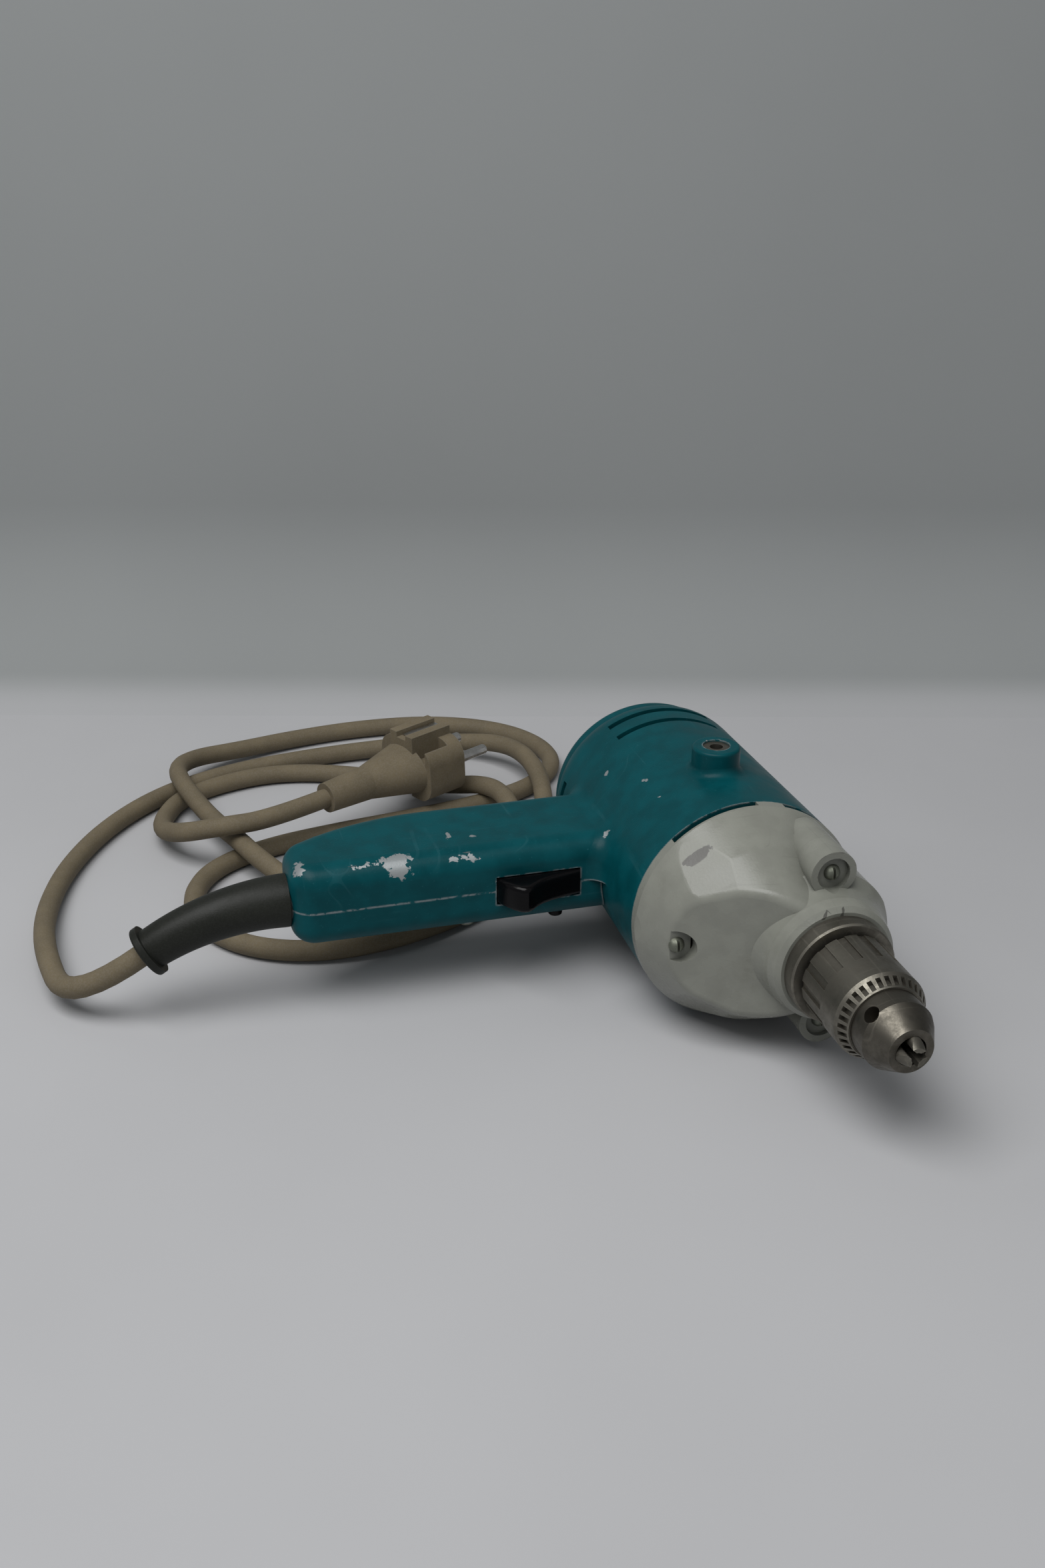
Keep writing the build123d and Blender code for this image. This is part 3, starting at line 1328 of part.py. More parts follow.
with BuildPart() as mains_cord:
    with BuildLine() as cord_path:
        FilletPolyline(*points, radius=radii)
    with BuildSketch(Plane(origin=points[0], x_dir=(0, 1, 0), z_dir=(-1, 0, 0))):
        Circle(cord_radius)
    sweep(path=cord_path.line)
mains_cord.part.label = "mains_cord"
export_step(mains_cord.part, "parts/mains_cord.step")
cord_length = sum(edge.length for edge in cord_path.edges())
share = mains_cord.part.volume / (math.pi * cord_radius**2 * cord_length)
print("cord length", round(cord_length), "volume share", round(share, 4))

lead_radius = 1.1
with BuildPart() as supply_leads:
    for side in (-1, 1):
        lead_start = points[0] + Vector(0.4, 0, side * 1.8)
        switch_x = motor_x + switch_place[0] - switch_size[0] / 2 - 0.3
        lead_end = Vector(switch_x, flange_y + switch_front + 4, motor_z + side * 1.8)
        lead = lead_end - lead_start
        with BuildSketch(Plane(origin=lead_start, z_dir=lead)):
            Circle(lead_radius)
        extrude(amount=lead.length)
supply_leads.part.label = "supply_leads"
export_step(supply_leads.part, "parts/supply_leads.step")

# Plug: a moulded body with two round pins and two earth clips
plug_plane = Plane(origin=plug_place, x_dir=(-plug_axis.Y, plug_axis.X, 0), z_dir=plug_axis)
head_start = plug_sleeve_length + plug_taper_length
plug_length = head_start + plug_head_length
pin_depth = 9.0
clip_half = 2.5
clip_thickness = 0.8


def plug_block(x_span, y_span, z_span, mode):
    """Box in the plug's own frame: x across the pins, y up, z towards the pins."""
    with BuildSketch(plug_plane.offset(z_span[0])) as profile:
        with Locations(((x_span[0] + x_span[1]) / 2, (y_span[0] + y_span[1]) / 2)):
            Rectangle(x_span[1] - x_span[0], y_span[1] - y_span[0])
    extrude(profile.sketch, amount=z_span[1] - z_span[0], mode=mode)


with BuildPart() as plug_body:
    with BuildSketch(plug_plane):
        Circle(plug_sleeve_radius)
    with BuildSketch(plug_plane.offset(plug_sleeve_length)):
        Circle(plug_sleeve_radius + 1)
    loft()
    with BuildSketch(plug_plane.offset(plug_sleeve_length)):
        Circle(plug_sleeve_radius + 1)
    with BuildSketch(plug_plane.offset(head_start + 1)):
        Ellipse(plug_half_width - 2, plug_half_height - 1.5)
    loft()
    with BuildSketch(plug_plane.offset(head_start)):
        RectangleRounded(2 * plug_half_width, 2 * plug_half_height, 9)
    extrude(amount=plug_head_length)
    plug_block((-8, 8), (0, plug_half_height + 4), (head_start - 2, plug_length), Mode.ADD)
    groove_floor = plug_half_height + 1.5
    groove = (-3.2, 3.2)
    groove_rise = (groove_floor, plug_half_height + 5)
    plug_block(groove, groove_rise, (head_start - 3, plug_length + 1), Mode.SUBTRACT)
    plug_block((-14.5, -8), (6, plug_half_height + 5), (head_start, plug_length - 7), Mode.SUBTRACT)
    groove_rise = (-plug_half_height - 1, 2 - plug_half_height)
    plug_block(groove, groove_rise, (head_start, plug_length + 1), Mode.SUBTRACT)
    with BuildSketch(plug_plane.offset(plug_length - pin_depth)):
        with Locations((-plug_pin_pitch / 2, 0), (plug_pin_pitch / 2, 0)):
            Circle(plug_pin_radius + seat_gap)
    extrude(amount=pin_depth + 1, mode=Mode.SUBTRACT)
plug_body.part.label = "plug_body"
export_step(plug_body.part, "parts/plug_body.step")

with BuildPart() as plug_pins:
    with BuildSketch(plug_plane.offset(plug_length - pin_depth)):
        with Locations((-plug_pin_pitch / 2, 0), (plug_pin_pitch / 2, 0)):
            Circle(plug_pin_radius)
    extrude(amount=pin_depth + plug_pin_length)
    pin_ends = plug_pins.faces().filter_by(GeomType.PLANE).sort_by(Axis(plug_place, tuple(plug_axis)))[-2:]
    fillet([edge for end in pin_ends for edge in end.edges()], radius=1.2)
plug_pins.part.label = "plug_pins"
export_step(plug_pins.part, "parts/plug_pins.step")

with BuildPart() as plug_earth_clips:
    for seat, facing in ((groove_floor, 1), (2 - plug_half_height, -1)):
        across = sorted((seat, seat + facing * clip_thickness))
        plug_block((-clip_half, clip_half), across, (head_start + 1, plug_length - 0.5), Mode.ADD)
plug_earth_clips.part.label = "plug_earth_clips"
export_step(plug_earth_clips.part, "parts/plug_earth_clips.step")
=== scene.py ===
"""Finishes, mains cord, floor, light and camera for an old corded drill with a pistol grip."""

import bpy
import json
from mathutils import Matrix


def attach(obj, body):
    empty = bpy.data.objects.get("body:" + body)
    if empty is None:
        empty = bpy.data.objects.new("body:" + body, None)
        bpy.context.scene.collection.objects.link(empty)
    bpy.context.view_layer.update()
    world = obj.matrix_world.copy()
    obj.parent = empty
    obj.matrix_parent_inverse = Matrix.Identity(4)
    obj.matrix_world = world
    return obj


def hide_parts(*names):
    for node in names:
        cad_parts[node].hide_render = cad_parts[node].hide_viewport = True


bl_info = {
    "name": "Corded Drill Dressing",
    "version": (1, 0, 0),
    "blender": (4, 5, 0),
    "location": "View3D > Sidebar > Drill",
    "description": "Dresses the packed drill with worn paint, handled steel, rubber and its mains cord",
    "category": "Object",
}

import json
import math

import bmesh
import bpy
from mathutils import Matrix, Vector

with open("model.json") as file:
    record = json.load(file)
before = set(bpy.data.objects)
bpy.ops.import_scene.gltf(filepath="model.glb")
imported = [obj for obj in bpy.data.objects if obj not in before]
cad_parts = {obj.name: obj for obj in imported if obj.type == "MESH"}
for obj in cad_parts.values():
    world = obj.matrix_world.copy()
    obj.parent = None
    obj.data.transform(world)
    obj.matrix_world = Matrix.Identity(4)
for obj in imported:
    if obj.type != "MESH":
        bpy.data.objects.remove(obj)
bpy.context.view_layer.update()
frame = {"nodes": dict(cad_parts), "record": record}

# Body of the casing, and the nodes at the far end of the cord
ROOT = "casing"

# Camera of the photograph: place in metres, then turn, tilt down and roll in radians
VIEW_PLACE = (-0.16923, -0.5166, 0.34468)
VIEW_YAW = -0.27382
VIEW_TILT = 0.42658
VIEW_ROLL = 0.0027
SENSOR_HEIGHT = 24

# Floor and backdrop in metres; the backdrop faces the camera and curves up from the floor
FLOOR_HALF = 8
WALL_HALF = 5
WALL_AWAY = 0.845
WALL_BEND = 0.09
WALL_BEND_STEPS = 12
WALL_HEIGHT = 4
# Height over which the backdrop goes from the floor's colour to its own
WALL_FADE = (-0.003, 0.010)

# Lamp over the drill, and the colour of the even light
SOFTBOX_SIZE = (1.2, 0.8)
SOFTBOX_PLACE = (-0.45, -0.30, 1.2)
SOFTBOX_AIM = (0, 0.05, 0)
EVEN_LIGHT = (0.95, 0.98, 1.0, 1.0)

# Route of the mains cord on the floor, from the boot to the plug, in metres
CORD_ROUTE = (
    (-0.1540, 0.047, 0.0279), (-0.1831, 0.047, 0.0097),
    (-0.191, 0.092, 0.0105), (-0.189, 0.134, 0.006), (-0.179, 0.173, 0.0045), (-0.160, 0.209, 0.0045),
    (-0.134, 0.237, 0.0045), (-0.102, 0.254, 0.0045), (-0.064, 0.262, 0.0045), (-0.022, 0.264, 0.005),
    (0.014, 0.255, 0.008), (0.035, 0.233, 0.0134), (0.040, 0.201, 0.0136), (0.034, 0.167, 0.008),
    (0.020, 0.133, 0.0045), (0.002, 0.105, 0.0045), (-0.024, 0.087, 0.0045), (-0.055, 0.074, 0.0045),
    (-0.086, 0.071, 0.0045), (-0.113, 0.082, 0.0045), (-0.129, 0.105, 0.0045), (-0.131, 0.131, 0.0045),
    (-0.119, 0.155, 0.0044), (-0.094, 0.169, 0.0044), (-0.062, 0.176, 0.0044), (-0.027, 0.181, 0.0044),
    (0.008, 0.188, 0.0044), (0.038, 0.201, 0.0044), (0.056, 0.224, 0.0045), (0.053, 0.253, 0.0045),
    (0.035, 0.276, 0.0045), (0.005, 0.290, 0.0045), (-0.030, 0.2925, 0.0045), (-0.064, 0.288, 0.0045),
    (-0.094, 0.277, 0.006), (-0.116, 0.264, 0.010), (-0.126, 0.245, 0.0136), (-0.124, 0.224, 0.0137),
    (-0.117, 0.203, 0.0095), (-0.112, 0.182, 0.011), (-0.107, 0.163, 0.0132), (-0.101, 0.146, 0.012),
    (-0.088, 0.128, 0.006), (-0.066, 0.115, 0.0045), (-0.038, 0.112, 0.0045), (-0.008, 0.121, 0.0045),
    (0.012, 0.142, 0.007), (0.018, 0.165, 0.012), (0.014, 0.187, 0.0144), (-0.004, 0.207, 0.007),
    (-0.026, 0.225, 0.0046), (-0.050, 0.240, 0.0045), (-0.078, 0.248, 0.0045), (-0.104, 0.243, 0.0045),
    (-0.126, 0.230, 0.0045), (-0.136, 0.208, 0.005), (-0.137, 0.185, 0.010), (-0.129, 0.168, 0.0165),
    (-0.113, 0.158, 0.0223), (-0.093, 0.1601, 0.022), (-0.066, 0.173, 0.0232),
)

# Seats of the domed screws of the gear housing, whose heads face the chuck
SCREW_SEATS = ((0.0260, -0.0223, 0.0425), (0.0760, -0.0375, 0.0720), (0.0760, -0.0375, 0.0130))
# Half outline of such a screw: distance from its axis, and height over its seat
SCREW_OUTLINE = (
    (0.0, 0.0027), (0.0010, 0.0026), (0.0019, 0.0021), (0.0026, 0.0013), (0.0030, 0.0), (0.0020, 0.0),
    (0.0020, -0.0280), (0.0, -0.0280),
)
SCREW_SIDES = 24
# Slot of the screw: half its width at the floor and at the top, and height of its floor over the seat
SLOT_HALF = 0.00035
SLOT_WALL = 0.00050
SLOT_FLOOR = 0.0014

# Side of the trigger: across the drill and along it, from the stop plate round the hook for the finger
TRIGGER_SIDE = (
    (-0.0245, 0.0366), (-0.0245, 0.0317), (-0.0226, 0.0282), (-0.0203, 0.0247), (-0.0179, 0.0226),
    (-0.0154, 0.0219), (-0.0132, 0.0229), (-0.0112, 0.0249), (-0.0082, 0.0270), (-0.0042, 0.0287),
    (0.0012, 0.0302), (0.0075, 0.0316), (0.0075, 0.0366),
)
# Height of its two sides, and the rounding of their rims
TRIGGER_SPAN = (0.0371, 0.0479)
TRIGGER_ROUND = 0.0022
# Low and high corner of the stop plate, and the rounding of its edges
TRIGGER_PLATE = ((-0.0277, 0.0365, 0.0391), (0.0087, 0.0395, 0.0499))
PLATE_ROUND = 0.0006

# Corners sharper than this stay crisp
CREASE = math.radians(38)
# Points closer than this are one point
TOUCHING = 1e-6

# Colours that show through or lie on the enamel, the pale paint and the steel; the grime colours also paint
# shade into corners, gaps and recesses
ENAMEL_SPECK = (0.05, 0.20, 0.23)
ENAMEL_HAIR = (0.08, 0.22, 0.25)
# Lighter teal along the edges of the grip: rubbed enamel and a painted highlight
ENAMEL_WEAR_AND_HIGHLIGHT = (0.03, 0.13, 0.15)
# Painted shade and grime in the corners and recesses of the enamel
ENAMEL_GRIME_SHADE = (0.004, 0.016, 0.019)
BARE_CASTING = (0.30, 0.32, 0.325)
PAINT_SMUDGE = (0.13, 0.125, 0.10)
PAINT_WORN = (0.12, 0.115, 0.10)
PAINT_SCORE = (0.05, 0.046, 0.042)
# Painted shade and grime in the corners and recesses of the pale paint
PAINT_GRIME_SHADE = (0.028, 0.032, 0.024)
# Painted shade and grime in the gaps of the steel
STEEL_GRIME_SHADE = (0.025, 0.02, 0.016)
# Roughness of the bare casting, as a grey
CASTING_ROUGH = (0.42, 0.42, 0.42)
# Place along the drill where the worn edges of the enamel, and the painted highlight on them, end
WORN_UNTIL = (0.076, 0.066)

# Steels by material slot: name, colour, roughness where bright and where dull, and the strength of grime and
# painted shade in their gaps
STEELS = {
    "plain_steel": ("bright_steel", (0.55, 0.54, 0.52), 0.22, 0.36, 0.7),
    "plate_metal": ("plate_sheet", (0.20, 0.20, 0.195), 0.42, 0.58, 0.8),
}
# The same for the chuck, whose colour is a setting, for its nose, a darker copy of that steel with painted
# shade where it faces the lamp, and for small fasteners
CHUCK_ROUGH = (0.38, 0.56)
# Strength of the grime and painted shade in the chuck's gaps
CHUCK_GRIME_SHADE = 1.0
CHUCK_NOSE_SHADED = ("chuck_nose_shaded", (0.125, 0.115, 0.096), 0.36, 0.56, 1.0)
DULLED_SCREWS = ("dulled_screws", (0.21, 0.22, 0.18), 0.48, 0.62, 1.0)

# Metals inside, by material slot: name, colour, metallic share and roughness
INNER_METALS = {
    "cast_alloy": ("cast_alloy", (0.52, 0.53, 0.54), 0.9, 0.42),
    "bronze": ("sintered_bronze", (0.55, 0.36, 0.16), 1.0, 0.4),
    "copper": ("enamelled_copper", (0.55, 0.24, 0.11), 0.9, 0.35),
    "laminations": ("core_laminations", (0.20, 0.20, 0.21), 0.8, 0.5),
    "carbon": ("brush_carbon", (0.04, 0.04, 0.04), 0.1, 0.6),
}

# Plastics and rubber by material slot: name, colour, roughness, dust and gloss
PLASTICS = {
    "black_gloss": ("polished_black", (0.002, 0.0018, 0.0022), 0.16, 0.004, 0.16),
    "black_plastic": ("moulded_black", (0.022, 0.022, 0.024), 0.5, 0.06, 0.35),
    "black_rubber": ("black_rubber", (0.012, 0.013, 0.010), 0.48, 0.04, 0.22),
    "lead_insulation": ("lead_insulation", (0.24, 0.10, 0.05), 0.5, 0.05, 0.35),
}
# The same for the cord and plug, whose colour is a setting
CORD_ROUGH = 0.78
CORD_DUST = 0.24
CORD_GLOSS = 0.35

# Chips in the enamel: centre, reach along each axis, turn, and how much of that reach is bare
TEAL_CHIPS = (
    ((-0.0617, 0.0354, 0.0575), (0.0090, 0.0065, 0.0065), (0.0, 0.0, 0.0), 0.80),
    ((-0.0737, 0.0360, 0.0578), (0.0130, 0.0030, 0.0030), (0.0, 0.0, 0.0), 0.62),
    ((-0.0393, 0.0349, 0.0569), (0.0240, 0.0040, 0.0040), (0.0, 0.0, 0.0), 0.36),
    ((-0.0389, 0.0512, 0.0595), (0.0024, 0.0065, 0.0040), (0.0, 0.0, 0.2), 0.50),
    ((-0.0296, 0.0468, 0.0595), (0.0050, 0.0018, 0.0020), (0.0, 0.0, 0.3), 0.40),
    ((-0.0968, 0.0400, 0.0582), (0.0065, 0.0080, 0.0065), (0.0, 0.0, 0.0), 0.50),
    ((0.0188, 0.0364, 0.0596), (0.0030, 0.0060, 0.0060), (0.0, 0.0, 0.0), 0.50),
    ((0.0280, 0.0645, 0.0708), (0.0050, 0.0030, 0.0040), (0.0, 0.0, 0.5), 0.36),
    ((0.0357, 0.0402, 0.0777), (0.0040, 0.0050, 0.0040), (0.0, 0.0, 0.0), 0.34),
    ((0.0354, 0.0246, 0.0777), (0.0050, 0.0030, 0.0040), (0.0, 0.0, 0.0), 0.38),
    ((0.0590, 0.0300, 0.0934), (0.0100, 0.0100, 0.0016), (0.0, 0.0, 0.0), 0.45),
)

# Dark scores in the pale paint, given the same way
PALE_SCORES = (
    ((0.0349, -0.0151, 0.0724), (0.0076, 0.0060, 0.0012), (0.0, 0.627, 0.0), 1.05),
    ((0.0691, -0.0498, 0.0633), (0.0050, 0.0030, 0.0009), (0.0, 0.9, 0.0), 0.66),
    ((0.0698, -0.0495, 0.0638), (0.0045, 0.0030, 0.0008), (0.0, -0.7, 0.0), 0.60),
    ((0.0750, -0.0504, 0.0632), (0.0040, 0.0030, 0.0009), (0.0, 1.2, 0.0), 0.62),
)

# Sockets of a colour mix node, by number because their names repeat
MIX_MASK, MIX_BELOW, MIX_ABOVE, MIX_RESULT = 0, 6, 7, 2


class DrillFinish(bpy.types.PropertyGroup):
    """Colours and wear of the drill's finishes."""

    teal: bpy.props.FloatVectorProperty(
        name="Enamel", description="Enamel of the motor housing and grip", subtype="COLOR", size=3,
        default=(0.0006, 0.057, 0.068), min=0, max=1)
    grey: bpy.props.FloatVectorProperty(
        name="Gear Case Paint", description="Pale paint of the gear housing", subtype="COLOR", size=3,
        default=(0.216, 0.219, 0.190), min=0, max=1)
    steel: bpy.props.FloatVectorProperty(
        name="Chuck Steel", description="Handled steel of the chuck", subtype="COLOR", size=3,
        default=(0.19, 0.178, 0.15), min=0, max=1)
    wear: bpy.props.FloatProperty(
        name="Wear", description="Share of the paint rubbed off the edges", subtype="FACTOR",
        default=0.36, min=0, max=1)


class DrillCord(bpy.types.PropertyGroup):
    """Size and colour of the mains cord."""

    diameter: bpy.props.FloatProperty(
        name="Diameter", description="Outside diameter of the cord", unit="LENGTH", default=0.0085,
        min=0.004, max=0.02)
    length: bpy.props.FloatProperty(
        name="Length", description="Free length from the boot to the plug", unit="LENGTH", default=1.77,
        min=0.2, max=5)
    rubber: bpy.props.FloatVectorProperty(
        name="Rubber", description="Dusty rubber of the cord and plug", subtype="COLOR", size=3,
        default=(0.142, 0.114, 0.070), min=0, max=1)


class DrillStage(bpy.types.PropertyGroup):
    """Colours of the floor and backdrop, strength of the light, and the lens."""

    floor: bpy.props.FloatVectorProperty(
        name="Floor", description="Colour of the floor", subtype="COLOR", size=3,
        default=(0.44, 0.44, 0.45), min=0, max=1)
    wall: bpy.props.FloatVectorProperty(
        name="Backdrop", description="Colour of the backdrop", subtype="COLOR", size=3,
        default=(0.27, 0.28, 0.28), min=0, max=1)
    softbox: bpy.props.FloatProperty(
        name="Softbox", description="Power of the overhead lamp in watts", default=15.5, min=0, max=200)
    ambient: bpy.props.FloatProperty(
        name="Ambient", description="Strength of the even light all round", default=0.32, min=0, max=2)
    lens: bpy.props.FloatProperty(
        name="Lens", description="Focal length on a frame 24 mm high", subtype="DISTANCE_CAMERA",
        default=26.366, min=10, max=200)


def join(tree, value, socket):
    """Links a socket to another one, or fills it with a constant."""
    if isinstance(value, bpy.types.NodeSocket):
        tree.links.new(value, socket)
    else:
        socket.default_value = value


def put(tree, kind, inputs=None, **settings):
    """Adds a node, sets it up, and links or fills its inputs."""
    made = tree.nodes.new(kind)
    for key, value in settings.items():
        setattr(made, key, value)
    for key, value in (inputs or {}).items():
        join(tree, value, made.inputs[key])
    return made


def calc(tree, operation, first, second=0.0, clamp=False):
    """One step of arithmetic on values."""
    step = put(tree, "ShaderNodeMath", {0: first, 1: second}, operation=operation, use_clamp=clamp)
    return step.outputs[0]


def times(tree, first, second):
    """Product of two values."""
    return calc(tree, "MULTIPLY", first, second)


def vector_calc(tree, operation, inputs, output="Vector"):
    """One step of arithmetic on vectors."""
    return put(tree, "ShaderNodeVectorMath", inputs, operation=operation).outputs[output]


def own_place(tree):
    """Coordinates on the piece itself."""
    return put(tree, "ShaderNodeTexCoord").outputs["Object"]


def own_axis(tree, axis):
    """One of the coordinates on the piece itself."""
    return put(tree, "ShaderNodeSeparateXYZ", {0: own_place(tree)}).outputs[axis]


def ramp(tree, value, low, high, start=0.0, end=1.0):
    """Eases a value from start to end while it goes from low to high."""
    eased = put(tree, "ShaderNodeMapRange", {
        "Value": value, "From Min": low, "From Max": high, "To Min": start, "To Max": end,
    }, interpolation_type="SMOOTHSTEP")
    return eased.outputs["Result"]


def tint(tree, mask, below, above):
    """Mixes two colours by a mask."""
    below, above = ((*colour, 1.0) if isinstance(colour, tuple) else colour for colour in (below, above))
    mixed = put(tree, "ShaderNodeMix", data_type="RGBA", clamp_factor=True)
    for index, value in ((MIX_MASK, mask), (MIX_BELOW, below), (MIX_ABOVE, above)):
        join(tree, value, mixed.inputs[index])
    return mixed.outputs[MIX_RESULT]


def coat(tree, base, *layers):
    """Lays colours over a base one after the other, each by its own mask."""
    for mask, colour in layers:
        base = tint(tree, mask, base, colour)
    return base


def shade(colour, factor):
    """A colour made darker or lighter."""
    return tuple(min(1.0, c * factor) for c in colour)


def spots(tree, scale, detail=3.0, roughness=0.55, vector=None):
    """Cloudy noise, on the piece's own coordinates unless others are given."""
    if vector is None:
        vector = own_place(tree)
    noise = put(tree, "ShaderNodeTexNoise", {
        "Vector": vector, "Scale": scale, "Detail": detail, "Roughness": roughness,
    })
    return noise.outputs["Fac"]


def group(name, inputs, outputs):
    """Starts a shader node group with named sockets, and gives its tree, its inputs and its outputs."""
    tree = bpy.data.node_groups.new(name, "ShaderNodeTree")
    for label, default in inputs:
        kind = "NodeSocketVector" if isinstance(default, tuple) else "NodeSocketFloat"
        socket = tree.interface.new_socket(name=label, in_out="INPUT", socket_type=kind)
        socket.default_value = default
    for label in outputs:
        tree.interface.new_socket(name=label, in_out="OUTPUT", socket_type="NodeSocketFloat")
    start = tree.nodes.new("NodeGroupInput")
    end = tree.nodes.new("NodeGroupOutput")
    return tree, start.outputs, end.inputs


def worn_edges_group():
    """Rubbed edges: wide where the noise is high, nothing on flat surfaces; the plain edge mask also sets
    where some finishes paint a highlight.
    """
    tree, given, out = group(
        "Worn Edges", (("Reach", 0.0012), ("Patch Scale", 180.0), ("Amount", 0.5)), ("Wear", "Edge"))
    rounded = put(tree, "ShaderNodeBevel", {"Radius": given["Reach"]}, samples=6).outputs["Normal"]
    plain = put(tree, "ShaderNodeNewGeometry").outputs["Normal"]
    facing = vector_calc(tree, "DOT_PRODUCT", {0: rounded, 1: plain}, "Value")
    edge = ramp(tree, facing, 0.995, 0.80)
    patch = spots(tree, given["Patch Scale"], detail=4.0, roughness=0.65)
    limit = calc(tree, "SUBTRACT", 1.0, given["Amount"])
    score = calc(tree, "ADD", times(tree, edge, 0.6), times(tree, patch, 0.8))
    gap = calc(tree, "SUBTRACT", score, calc(tree, "ADD", limit, 0.28))
    wear = ramp(tree, gap, 0.0, 0.08)
    tree.links.new(times(tree, wear, ramp(tree, edge, 0.02, 0.15)), out["Wear"])
    tree.links.new(edge, out["Edge"])
    return tree


def recess_grime_shade_group():
    """Grime and painted shade in corners, gaps and recesses: darker where the ambient occlusion finds
    neighbours close by.
    """
    tree, given, out = group(
        "Recess Grime and Shade", (("Reach", 0.006), ("Patch Scale", 90.0), ("Amount", 0.6)), ("Grime and Shade",))
    # Painted shade: the less open sky a point sees, the darker it gets
    open_sky = put(tree, "ShaderNodeAmbientOcclusion", {"Distance": given["Reach"]}, samples=8).outputs["AO"]
    corner = calc(tree, "SUBTRACT", 1.0, open_sky)
    cloud = spots(tree, given["Patch Scale"], detail=4.0, roughness=0.6)
    patch = ramp(tree, cloud, 0.3, 0.7, start=0.35)
    grime_shade = calc(tree, "MULTIPLY", times(tree, corner, patch), given["Amount"], clamp=True)
    tree.links.new(grime_shade, out["Grime and Shade"])
    return tree


def scratches_group():
    """Fine hair scratches running in two directions."""
    tree, given, out = group(
        "Hair Scratches", (("Scale", 60.0), ("Width", 0.010), ("Amount", 0.5)), ("Scratch",))
    place = own_place(tree)
    lines = []
    for turn, stretch in (((0.3, 0.9, 0.4), (1.0, 0.025, 1.0)), ((1.1, 0.2, 2.0), (0.025, 1.0, 1.0))):
        mapped = put(tree, "ShaderNodeMapping", {"Vector": place, "Rotation": turn, "Scale": stretch})
        wave = spots(tree, given["Scale"], detail=0.5, roughness=0.5, vector=mapped.outputs["Vector"])
        off = calc(tree, "ABSOLUTE", calc(tree, "SUBTRACT", wave, 0.5))
        lines.append(calc(tree, "LESS_THAN", off, given["Width"]))
    both = calc(tree, "MAXIMUM", lines[0], lines[1])
    where = ramp(tree, spots(tree, scale=45.0, detail=2.0), 0.52, 0.66)
    tree.links.new(times(tree, times(tree, both, where), given["Amount"]), out["Scratch"])
    return tree


def chip_group():
    """One ragged chip or scuff in the paint, at a place on the piece."""
    tree, given, out = group("Paint Chip", (
        ("Centre", (0.0, 0.0, 0.0)), ("Reach", (0.01, 0.01, 0.01)), ("Turn", (0.0, 0.0, 0.0)),
        ("Ragged Scale", 220.0), ("Cover", 0.5)), ("Chip",))
    moved = vector_calc(tree, "SUBTRACT", {0: own_place(tree), 1: given["Centre"]})
    turned = put(tree, "ShaderNodeVectorRotate", {"Vector": moved, "Rotation": given["Turn"]},
                 rotation_type="EULER_XYZ").outputs[0]
    shrunk = vector_calc(tree, "DIVIDE", {0: turned, 1: given["Reach"]})
    far = vector_calc(tree, "LENGTH", {0: shrunk}, "Value")
    ragged = spots(tree, given["Ragged Scale"], detail=5.0, roughness=0.62)
    reach = calc(tree, "SUBTRACT", ragged, times(tree, far, 0.42))
    limit = calc(tree, "SUBTRACT", 0.62, times(tree, given["Cover"], 0.5))
    chip = ramp(tree, calc(tree, "SUBTRACT", reach, limit), 0.0, 0.02)
    tree.links.new(times(tree, chip, ramp(tree, far, 1.05, 0.85)), out["Chip"])
    return tree


def skin_group():
    """Height of a sprayed or moulded surface: fine orange peel with slow waves."""
    tree, given, out = group(
        "Surface Skin", (("Fine Scale", 900.0), ("Slow Share", 0.4)), ("Height", "Cloud"))
    fine = spots(tree, given["Fine Scale"], detail=2.0, roughness=0.5)
    slow = spots(tree, scale=110.0, detail=3.0, roughness=0.5)
    height = calc(tree, "ADD", fine, times(tree, slow, given["Slow Share"]))
    tree.links.new(height, out["Height"])
    tree.links.new(slow, out["Cloud"])
    return tree


GROUPS = {
    "Worn Edges": worn_edges_group,
    "Recess Grime and Shade": recess_grime_shade_group,
    "Hair Scratches": scratches_group,
    "Paint Chip": chip_group,
    "Surface Skin": skin_group,
}


def place_group(tree, name, **values):
    """Puts a shared node group into a material, building the group the first time."""
    made = tree.nodes.new("ShaderNodeGroup")
    made.node_tree = bpy.data.node_groups.get(name) or GROUPS[name]()
    for label, value in values.items():
        join(tree, value, made.inputs[label.replace("_", " ").title()])
    return made.outputs


def add_chips(tree, mask, chips):
    """Adds chips or scores at their places to a mask."""
    for centre, reach, turn, cover in chips:
        chip = place_group(tree, "Paint Chip", centre=centre, reach=reach, turn=turn, cover=cover)
        mask = calc(tree, "MAXIMUM", mask, chip["Chip"])
    return mask


def new_finish(name, **constants):
    """A material with an empty Principled shader; constants go straight onto its sockets."""
    finish = bpy.data.materials.new(name)
    finish.use_nodes = True
    tree = finish.node_tree
    shader = tree.nodes["Principled BSDF"]
    for label, value in constants.items():
        shader.inputs[label.replace("_", " ")].default_value = value
    return finish, tree, shader


def feed(tree, shader, **sources):
    """Links values that change over the surface to the shader's sockets."""
    for label, source in sources.items():
        tree.links.new(source, shader.inputs[label.replace("_", " ")])


def bump(tree, height, strength, distance):
    """Normal of a surface raised by a height."""
    inputs = {"Height": height, "Strength": strength, "Distance": distance}
    return put(tree, "ShaderNodeBump", inputs).outputs["Normal"]


